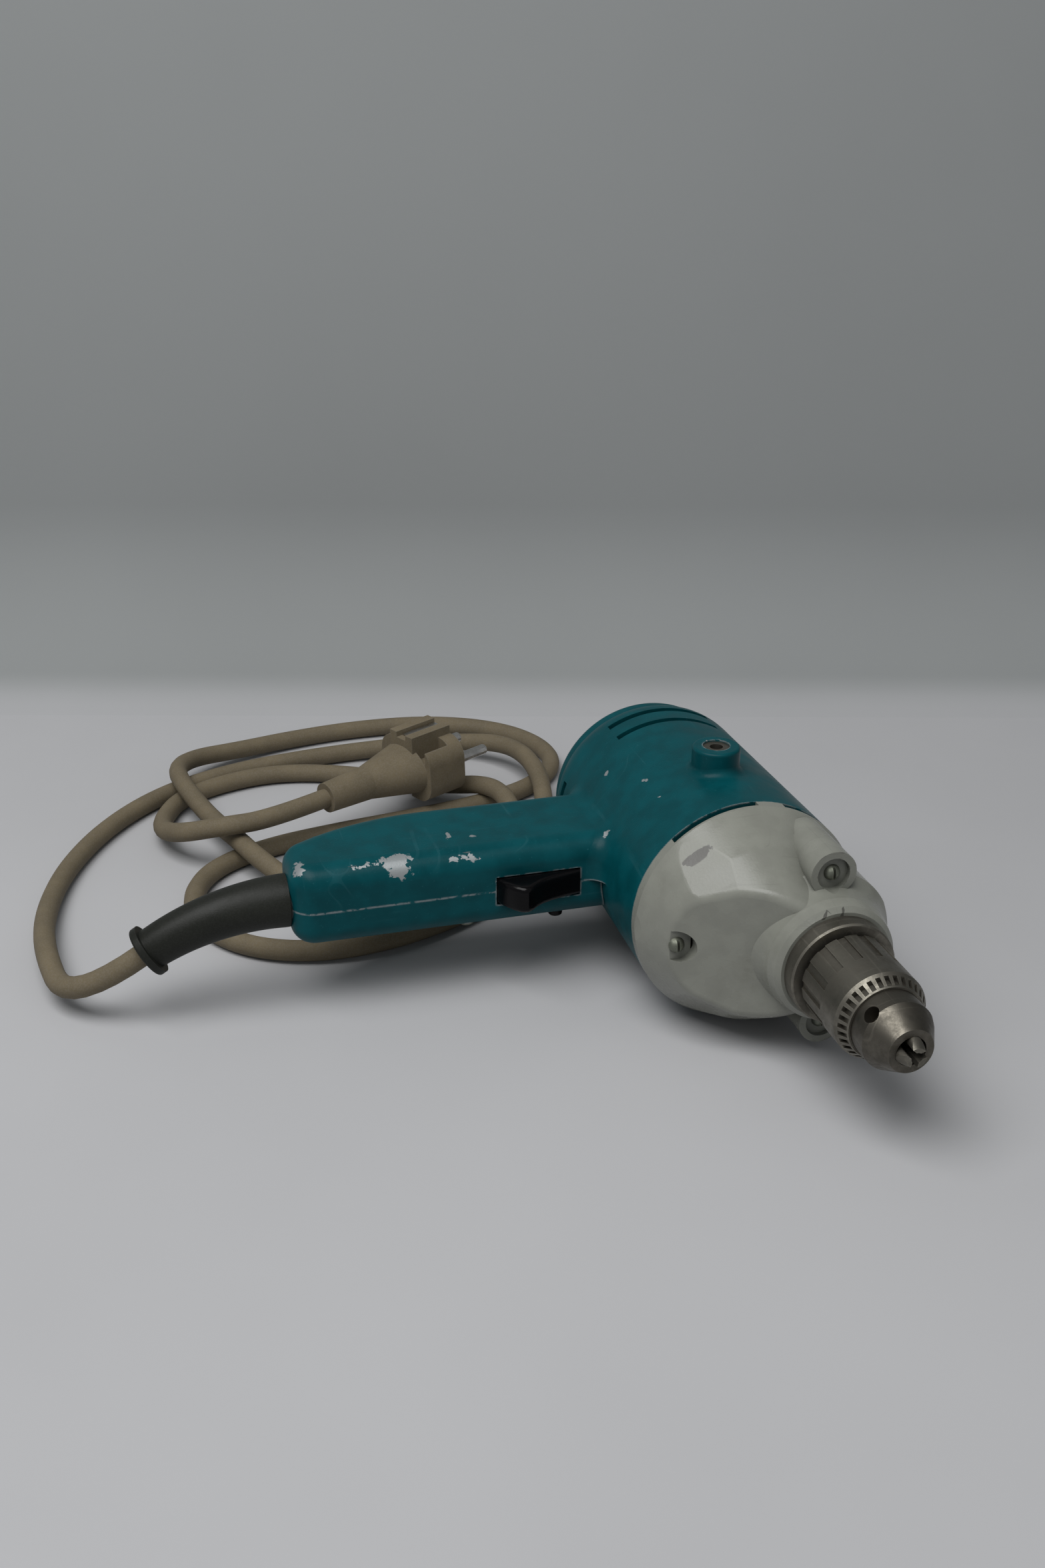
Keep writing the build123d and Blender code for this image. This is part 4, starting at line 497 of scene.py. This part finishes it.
def teal_enamel(colour, wear):
    """Hard blue-green enamel, rubbed pale on its edges with a painted highlight along them, chipped to the
    bare casting, with grime and painted shade in its recesses.
    """
    finish, tree, shader = new_finish("teal_enamel", IOR=1.5, Specular_IOR_Level=0.11)
    skin = place_group(tree, "Surface Skin", fine_scale=1500.0, slow_share=0.5)
    edges = place_group(tree, "Worn Edges", reach=0.0016, patch_scale=260.0, amount=wear)
    grime_shade = place_group(tree, "Recess Grime and Shade", reach=0.005, patch_scale=70.0, amount=0.8)["Grime and Shade"]
    hairs = place_group(tree, "Hair Scratches", scale=46.0, width=0.004, amount=0.14)["Scratch"]
    handled = ramp(tree, own_axis(tree, "Y"), *WORN_UNTIL)
    chips = add_chips(tree, times(tree, edges["Wear"], handled), TEAL_CHIPS)
    speck = ramp(tree, spots(tree, scale=1300.0, detail=2.0), 0.68, 0.74)
    base = coat(
        tree, tint(tree, ramp(tree, skin["Cloud"], 0.3, 0.7), shade(colour, 0.86), shade(colour, 1.12)),
        (times(tree, speck, 0.20), ENAMEL_SPECK),
        (times(tree, hairs, 0.5), ENAMEL_HAIR),
        # Rubbed enamel and a painted highlight along the edges of the grip
        (times(tree, times(tree, edges["Edge"], handled), 0.22), ENAMEL_WEAR_AND_HIGHLIGHT),
        # Painted shade and grime in the recesses
        (grime_shade, ENAMEL_GRIME_SHADE),
        (chips, BARE_CASTING),
    )
    gloss = ramp(tree, skin["Cloud"], 0.2, 0.8, start=0.30, end=0.46)
    rough = calc(tree, "ADD", tint(tree, chips, gloss, CASTING_ROUGH), times(tree, grime_shade, 0.3))
    height = calc(tree, "SUBTRACT", skin["Height"], times(tree, chips, 1.6))
    feed(tree, shader, Base_Color=base, Roughness=rough, Metallic=times(tree, chips, 0.45),
         Normal=bump(tree, height, strength=0.10, distance=0.0004))
    return finish


def pale_paint(colour, wear):
    """Pale grey paint of the gear housing, with grime and painted shade in its corners, a painted highlight
    on its edges, and scored round the nose.
    """
    finish, tree, shader = new_finish("pale_paint", IOR=1.5, Specular_IOR_Level=0.4)
    skin = place_group(tree, "Surface Skin", fine_scale=1200.0, slow_share=0.7)
    edges = place_group(tree, "Worn Edges", reach=0.0014, patch_scale=300.0, amount=wear * 0.7)
    grime_shade = place_group(tree, "Recess Grime and Shade", reach=0.009, patch_scale=60.0, amount=0.9)["Grime and Shade"]
    hairs = place_group(tree, "Hair Scratches", scale=60.0, width=0.004, amount=0.3)["Scratch"]
    scores = add_chips(tree, times(tree, hairs, 0.6), PALE_SCORES)
    smudge = ramp(tree, spots(tree, scale=38.0, detail=5.0, roughness=0.7), 0.55, 0.78)
    base = coat(
        tree, tint(tree, ramp(tree, skin["Cloud"], 0.3, 0.7), shade(colour, 0.93), shade(colour, 1.05)),
        (times(tree, smudge, 0.35), PAINT_SMUDGE),
        # Painted highlight: a lighter copy of the paint along its edges
        (times(tree, edges["Edge"], 0.25), shade(colour, 1.25)),
        (edges["Wear"], PAINT_WORN),
        (times(tree, scores, 0.8), PAINT_SCORE),
        # Painted shade and grime in the recesses
        (grime_shade, PAINT_GRIME_SHADE),
    )
    gloss = ramp(tree, skin["Cloud"], 0.2, 0.8, start=0.20, end=0.34)
    rough = calc(tree, "ADD", gloss, times(tree, grime_shade, 0.3))
    feed(tree, shader, Base_Color=base, Roughness=rough,
         Normal=bump(tree, skin["Height"], strength=0.08, distance=0.0004))
    return finish


def handled_steel(name, colour, rough_low, rough_high, grime_shade_amount):
    """Machined steel, dulled by handling, with black grime and painted shade in its gaps, and bright corners.
    """
    finish, tree, shader = new_finish(name, Metallic=1.0)
    edges = place_group(tree, "Worn Edges", reach=0.0006, patch_scale=400.0, amount=0.6)
    grime_shade = place_group(tree, "Recess Grime and Shade", reach=0.003, patch_scale=200.0, amount=grime_shade_amount)["Grime and Shade"]
    skin = place_group(tree, "Surface Skin", fine_scale=2200.0, slow_share=0.5)
    hairs = place_group(tree, "Hair Scratches", scale=120.0, width=0.012, amount=0.7)["Scratch"]
    cloud = ramp(tree, spots(tree, scale=150.0, detail=5.0, roughness=0.7), 0.3, 0.72)
    base = coat(
        tree, tint(tree, cloud, shade(colour, 0.72), shade(colour, 1.15)),
        (times(tree, hairs, 0.5), shade(colour, 1.6)),
        (times(tree, edges["Edge"], 0.6), shade(colour, 1.5)),
        # Painted shade and grime in the gaps
        (grime_shade, STEEL_GRIME_SHADE),
    )
    gloss = ramp(tree, cloud, 0.0, 1.0, start=rough_high, end=rough_low)
    rough = calc(tree, "ADD", gloss, times(tree, grime_shade, 0.35), clamp=True)
    feed(tree, shader, Base_Color=base, Roughness=rough,
         Normal=bump(tree, skin["Height"], strength=0.06, distance=0.0002))
    return finish


def moulded(name, colour, rough, dust, gloss):
    """Moulded plastic or rubber with fine grain, dust and rubbed corners."""
    finish, tree, shader = new_finish(name, IOR=1.48, Specular_IOR_Level=gloss)
    skin = place_group(tree, "Surface Skin", fine_scale=1800.0, slow_share=0.5)
    edges = place_group(tree, "Worn Edges", reach=0.0008, patch_scale=300.0, amount=0.5)
    cloud = ramp(tree, spots(tree, scale=60.0, detail=5.0, roughness=0.65), 0.35, 0.7)
    grain = ramp(tree, spots(tree, scale=1600.0, detail=2.0), 0.42, 0.62)
    pale = tuple(c * 0.7 + 0.10 for c in colour)
    base = coat(
        tree, tint(tree, cloud, shade(colour, 0.88), shade(colour, 1.10)),
        (times(tree, grain, dust), pale),
        (times(tree, edges["Edge"], dust * 1.4), pale),
    )
    tone = calc(tree, "ADD", rough - 0.06, times(tree, cloud, 0.12))
    feed(tree, shader, Base_Color=base, Roughness=tone,
         Normal=bump(tree, skin["Height"], strength=0.15, distance=0.0003))
    return finish


def machined(name, colour, metallic, rough):
    """Inner metal parts: clean, faintly marked by the tool."""
    finish, tree, shader = new_finish(name, Metallic=metallic)
    skin = place_group(tree, "Surface Skin", fine_scale=1400.0, slow_share=0.4)
    cloud = ramp(tree, skin["Cloud"], 0.3, 0.7)
    base = tint(tree, cloud, shade(colour, 0.85), shade(colour, 1.1))
    tone = ramp(tree, cloud, 0.0, 1.0, start=rough + 0.08, end=rough - 0.05)
    feed(tree, shader, Base_Color=base, Roughness=tone,
         Normal=bump(tree, skin["Height"], strength=0.08, distance=0.0002))
    return finish


def pick(geom, kind):
    """The vertices, edges or faces out of a mixed list."""
    return [part for part in geom if isinstance(part, kind)]


def round_edges(shape, edges, radius, segments):
    """Rounds the given edges of a shape."""
    bmesh.ops.bevel(shape, geom=edges, offset=radius, offset_type="OFFSET", affect="EDGES", segments=segments,
                    profile=0.5, material=-1, clamp_overlap=True)


def in_order(parts, key):
    """Sorts the vertices or faces of a shape, so that each run gives the same mesh."""
    rank = {part: place for place, part in enumerate(sorted(parts, key=key))}
    parts.sort(key=rank.get)
    parts.index_update()


def new_piece(name, shape, finish, context):
    """Turns a bmesh into a piece with rounded shading and crisp corners."""
    in_order(shape.verts, lambda vert: tuple(vert.co))
    in_order(shape.faces, lambda face: sorted(vert.index for vert in face.verts))
    bmesh.ops.recalc_face_normals(shape, faces=shape.faces)
    for face in shape.faces:
        face.smooth = True
    mesh = bpy.data.meshes.new(name)
    shape.to_mesh(mesh)
    shape.free()
    mesh.set_sharp_from_angle(angle=CREASE)
    mesh.materials.append(finish)
    piece = bpy.data.objects.new(name, mesh)
    context.scene.collection.objects.link(piece)
    return piece


def domed_screws(finish, context):
    """Domed screws with a slot, turned about their own axes."""
    turned = bmesh.new()
    corners = [turned.verts.new((far, -high, 0.0)) for far, high in SCREW_OUTLINE]
    outline = [turned.edges.new(pair) for pair in zip(corners, corners[1:])]
    bmesh.ops.spin(turned, geom=[*corners, *outline], cent=(0, 0, 0), axis=(0, 1, 0), dvec=(0, 0, 0),
                   angle=math.tau, steps=SCREW_SIDES, use_merge=True, use_duplicate=False)
    bmesh.ops.remove_doubles(turned, verts=turned.verts, dist=TOUCHING)
    for offset in (-SLOT_WALL, -SLOT_HALF, SLOT_HALF, SLOT_WALL):
        bmesh.ops.bisect_plane(turned, geom=[*turned.verts, *turned.edges, *turned.faces], dist=TOUCHING / 10,
                               plane_co=(offset, 0, 0), plane_no=(1, 0, 0))
    for vert in turned.verts:
        if abs(vert.co.x) < SLOT_HALF + TOUCHING and -vert.co.y > SLOT_FLOOR:
            vert.co.y = -SLOT_FLOOR
    single = bpy.data.meshes.new("domed_screw")
    turned.to_mesh(single)
    turned.free()
    shape = bmesh.new()
    for seat in SCREW_SEATS:
        shape.from_mesh(single)
        added = list(shape.verts)[-len(single.vertices):]
        bmesh.ops.translate(shape, vec=seat, verts=added)
    bpy.data.meshes.remove(single)
    return new_piece("domed_screws", shape, finish, context)


def hooked_trigger(finish, context):
    """Trigger with a rounded hook for the finger, and the plate that stops it inside the grip."""
    shape = bmesh.new()
    bottom, top = TRIGGER_SPAN
    side = shape.faces.new([shape.verts.new((x, y, bottom)) for x, y in TRIGGER_SIDE])
    raised = bmesh.ops.extrude_face_region(shape, geom=[side])
    bmesh.ops.translate(shape, vec=(0, 0, top - bottom), verts=pick(raised["geom"], bmesh.types.BMVert))
    bmesh.ops.recalc_face_normals(shape, faces=shape.faces)
    mouth = TRIGGER_SIDE[1][1] + 10 * TOUCHING
    level = [edge for edge in shape.edges if edge.verts[0].co.z == edge.verts[1].co.z]
    rims = [edge for edge in level if max(vert.co.y for vert in edge.verts) < mouth]
    round_edges(shape, rims, TRIGGER_ROUND, segments=4)
    low, high = (Vector(corner) for corner in TRIGGER_PLATE)
    place = Matrix.Translation((low + high) / 2) @ Matrix.Diagonal((*(high - low), 1.0))
    corners = bmesh.ops.create_cube(shape, size=1, matrix=place)["verts"]
    plate = [edge for edge in shape.edges if edge.verts[0] in corners]
    round_edges(shape, plate, PLATE_ROUND, segments=2)
    return new_piece("hooked_trigger", shape, finish, context)


def node_slots():
    """Material slot of each CAD node, as the record gives it."""
    record = frame["record"]
    return {row["node"]: row["material_slot"] for row in record["subparts"]}


def wear_finish(finish, *nodes):
    """Gives CAD nodes their finish."""
    for name in nodes:
        mesh = frame["nodes"][name].data
        mesh.materials.clear()
        mesh.materials.append(finish)


def wear_slots(finishes, but=()):
    """Gives CAD nodes the finish of their material slot."""
    for name, slot in node_slots().items():
        if slot in finishes and name not in but:
            wear_finish(finishes[slot], name)


class DRILL_OT_housing(bpy.types.Operator):
    """Enamel on the motor housing, the grip and the rear cover."""

    bl_idname = "drill.housing"
    bl_label = "Motor Housing and Grip"

    def execute(self, context):
        look = context.scene.drill_finish
        enamel = teal_enamel(tuple(look.teal), look.wear)
        wear_finish(enamel, "motor_housing", "handle_cover", "rear_cover")
        return {"FINISHED"}


class DRILL_OT_gear_case(bpy.types.Operator):
    """Pale paint on the gear housing."""

    bl_idname = "drill.gear_case"
    bl_label = "Gear Housing"

    def execute(self, context):
        look = context.scene.drill_finish
        wear_finish(pale_paint(tuple(look.grey), look.wear), "gear_housing")
        return {"FINISHED"}


class DRILL_OT_metalwork(bpy.types.Operator):
    """Metals of the chuck, the fasteners and the inside, with the domed screws of the gear housing."""

    bl_idname = "drill.metalwork"
    bl_label = "Chuck and Metalwork"

    def execute(self, context):
        look = context.scene.drill_finish
        chuck = handled_steel("handled_steel", tuple(look.steel), *CHUCK_ROUGH, CHUCK_GRIME_SHADE)
        wear_slots({"bare_steel": chuck})
        wear_slots({slot: handled_steel(*row) for slot, row in STEELS.items()})
        wear_slots({slot: machined(*row) for slot, row in INNER_METALS.items()})
        dull = handled_steel(*DULLED_SCREWS)
        # The nose wears a darker copy of the chuck steel: painted shade where it faces the lamp
        wear_finish(handled_steel(*CHUCK_NOSE_SHADED), "chuck_body")
        wear_finish(dull, "handle_cover_screws", "rear_cover_screws", "top_plate_rivets")
        screws = domed_screws(dull, context)
        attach(screws, ROOT)
        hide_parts("gear_housing_screws")
        return {"FINISHED"}


class DRILL_OT_controls(bpy.types.Operator):
    """Plastics and rubber of the controls, the boot and the leads, with the hooked trigger."""

    bl_idname = "drill.controls"
    bl_label = "Trigger and Switch"

    def execute(self, context):
        plastics = {slot: moulded(*row) for slot, row in PLASTICS.items()}
        wear_slots(plastics, but=("rear_cover",))
        hook = hooked_trigger(plastics["black_gloss"], context)
        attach(hook, "trigger_body")
        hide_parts("trigger")
        return {"FINISHED"}


class DRILL_OT_cord(bpy.types.Operator):
    """Mains cord laid in loose loops, with its rubber plug."""

    bl_idname = "drill.cord"
    bl_label = "Mains Cord and Plug"

    def execute(self, context):
        cord = context.scene.drill_cord
        rubber = moulded("dusty_rubber", tuple(cord.rubber), CORD_ROUGH, CORD_DUST, CORD_GLOSS)
        curve = bpy.data.curves.new("mains_flex", "CURVE")
        curve.dimensions = "3D"
        curve.resolution_u = 8
        curve.bevel_depth = cord.diameter / 2
        curve.bevel_resolution = 6
        curve.use_fill_caps = True
        line = curve.splines.new("NURBS")
        line.points.add(len(CORD_ROUTE) - 1)
        for point, place in zip(line.points, CORD_ROUTE):
            point.co = (*place, 1.0)
        line.order_u = 3
        line.use_endpoint_u = True
        curve.materials.append(rubber)
        flex = bpy.data.objects.new("mains_flex", curve)
        context.scene.collection.objects.link(flex)
        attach(flex, ROOT)
        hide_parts("mains_cord")
        wear_slots({"grey_rubber": rubber})
        return {"FINISHED"}


def sheet_finish(name, low, high, see_through=False):
    """Faintly clouded matt surface, its colour going from low to high as it rises; its back may be clear."""
    finish, tree, shader = new_finish(name, Roughness=0.9, Specular_IOR_Level=0.1)
    plain = tint(tree, ramp(tree, own_axis(tree, "Z"), *WALL_FADE), low, high)
    cloud = ramp(tree, spots(tree, scale=3.0, detail=4.0), 0.3, 0.7, start=0.97, end=1.03)
    feed(tree, shader, Base_Color=vector_calc(tree, "SCALE", {0: plain, "Scale": cloud}))
    if see_through:
        behind = put(tree, "ShaderNodeNewGeometry").outputs["Backfacing"]
        clear = put(tree, "ShaderNodeBsdfTransparent").outputs[0]
        mixed = put(tree, "ShaderNodeMixShader", {0: behind, 1: shader.outputs[0], 2: clear})
        tree.links.new(mixed.outputs[0], tree.nodes["Material Output"].inputs["Surface"])
    return finish


def stage_sheet(name, shape, finish, context):
    """Turns a bmesh into the floor or the backdrop."""
    mesh = bpy.data.meshes.new(name)
    shape.to_mesh(mesh)
    shape.free()
    mesh.materials.append(finish)
    sheet = bpy.data.objects.new(name, mesh)
    context.scene.collection.objects.link(sheet)
    return sheet


def floor_shape():
    """One flat square."""
    shape = bmesh.new()
    bmesh.ops.create_grid(shape, x_segments=1, y_segments=1, size=FLOOR_HALF)
    return shape


def wall_shape():
    """Upright sheet with a bend at its foot, turned to face the camera."""
    shape = bmesh.new()
    foot = [shape.verts.new((x, WALL_AWAY, 0.0)) for x in (-WALL_HALF, WALL_HALF)]
    edge = shape.edges.new(foot)
    swept = bmesh.ops.spin(shape, geom=[edge, *foot], cent=(0, WALL_AWAY, WALL_BEND), axis=(1, 0, 0),
                           dvec=(0, 0, 0), angle=math.radians(90), steps=WALL_BEND_STEPS, use_duplicate=False)
    top = pick(swept["geom_last"], bmesh.types.BMEdge)
    raised = bmesh.ops.extrude_edge_only(shape, edges=top)
    bmesh.ops.translate(shape, vec=(0, 0, WALL_HEIGHT), verts=pick(raised["geom"], bmesh.types.BMVert))
    bmesh.ops.rotate(shape, cent=(0, 0, 0), matrix=Matrix.Rotation(VIEW_YAW, 3, "Z"), verts=shape.verts)
    bmesh.ops.translate(shape, vec=(VIEW_PLACE[0], VIEW_PLACE[1], 0), verts=shape.verts)
    for face in shape.faces:
        face.smooth = True
    return shape


def hang_softbox(power, scene):
    """Wide soft lamp over the drill."""
    lamp = bpy.data.lights.new("softbox", "AREA")
    lamp.shape = "RECTANGLE"
    lamp.size, lamp.size_y = SOFTBOX_SIZE
    lamp.energy = power
    box = bpy.data.objects.new("softbox", lamp)
    box.location = SOFTBOX_PLACE
    box.rotation_euler = (Vector(SOFTBOX_AIM) - box.location).to_track_quat("-Z", "Y").to_euler()
    scene.collection.objects.link(box)


def set_camera(focal_length, scene):
    """Camera that sees the drill as the photograph does."""
    lens = bpy.data.cameras.new("photo_view")
    lens.sensor_fit = "VERTICAL"
    lens.sensor_height = SENSOR_HEIGHT
    lens.lens = focal_length
    camera = bpy.data.objects.new("photo_view", lens)
    camera.location = VIEW_PLACE
    aim = Matrix.Rotation(VIEW_YAW, 3, "Z") @ Matrix.Rotation(math.pi / 2 - VIEW_TILT, 3, "X")
    camera.rotation_euler = (aim @ Matrix.Rotation(VIEW_ROLL, 3, "Z")).to_euler()
    scene.collection.objects.link(camera)
    scene.camera = camera


class DRILL_OT_stage(bpy.types.Operator):
    """Floor, backdrop, soft light and the camera."""

    bl_idname = "drill.stage"
    bl_label = "Floor, Light and Camera"

    def execute(self, context):
        scene = context.scene
        stage = scene.drill_stage
        ground = tuple(stage.floor)
        floor = stage_sheet("floor", floor_shape(), sheet_finish("floor", ground, ground), context)
        backdrop = sheet_finish("backdrop", ground, tuple(stage.wall), see_through=True)
        wall = stage_sheet("backdrop", wall_shape(), backdrop, context)
        world = bpy.data.worlds.new("even_light")
        world.use_nodes = True
        even = world.node_tree.nodes["Background"].inputs
        even["Color"].default_value = EVEN_LIGHT
        even["Strength"].default_value = stage.ambient
        scene.world = world
        hang_softbox(stage.softbox, scene)
        set_camera(stage.lens, scene)
        scene.view_settings.view_transform = "Standard"
        return {"FINISHED"}


class DRILL_PT_panel(bpy.types.Panel):
    """Lists the drill's dressing steps and their settings."""

    bl_label = "Drill"
    bl_idname = "DRILL_PT_panel"
    bl_space_type = "VIEW_3D"
    bl_region_type = "UI"
    bl_category = "Drill"

    def draw(self, context):
        layout = self.layout
        for step in STEPS:
            layout.operator(step.bl_idname)
        scene = context.scene
        for settings in (scene.drill_finish, scene.drill_cord, scene.drill_stage):
            for name in settings.__annotations__:
                layout.prop(settings, name)


STEPS = (
    DRILL_OT_stage, DRILL_OT_housing, DRILL_OT_gear_case,
    DRILL_OT_metalwork, DRILL_OT_controls, DRILL_OT_cord,
)
CLASSES = (DrillFinish, DrillCord, DrillStage, *STEPS, DRILL_PT_panel)


def register():
    for kind in CLASSES:
        bpy.utils.register_class(kind)
    bpy.types.Scene.drill_finish = bpy.props.PointerProperty(type=DrillFinish)
    bpy.types.Scene.drill_cord = bpy.props.PointerProperty(type=DrillCord)
    bpy.types.Scene.drill_stage = bpy.props.PointerProperty(type=DrillStage)


def unregister():
    del bpy.types.Scene.drill_stage
    del bpy.types.Scene.drill_cord
    del bpy.types.Scene.drill_finish
    for kind in reversed(CLASSES):
        bpy.utils.unregister_class(kind)


def main():
    register()
    bpy.ops.drill.stage()
    bpy.ops.drill.housing()
    bpy.ops.drill.gear_case()
    bpy.ops.drill.metalwork()
    bpy.ops.drill.controls()
    bpy.ops.drill.cord()


if __name__ == "__main__":
    main()
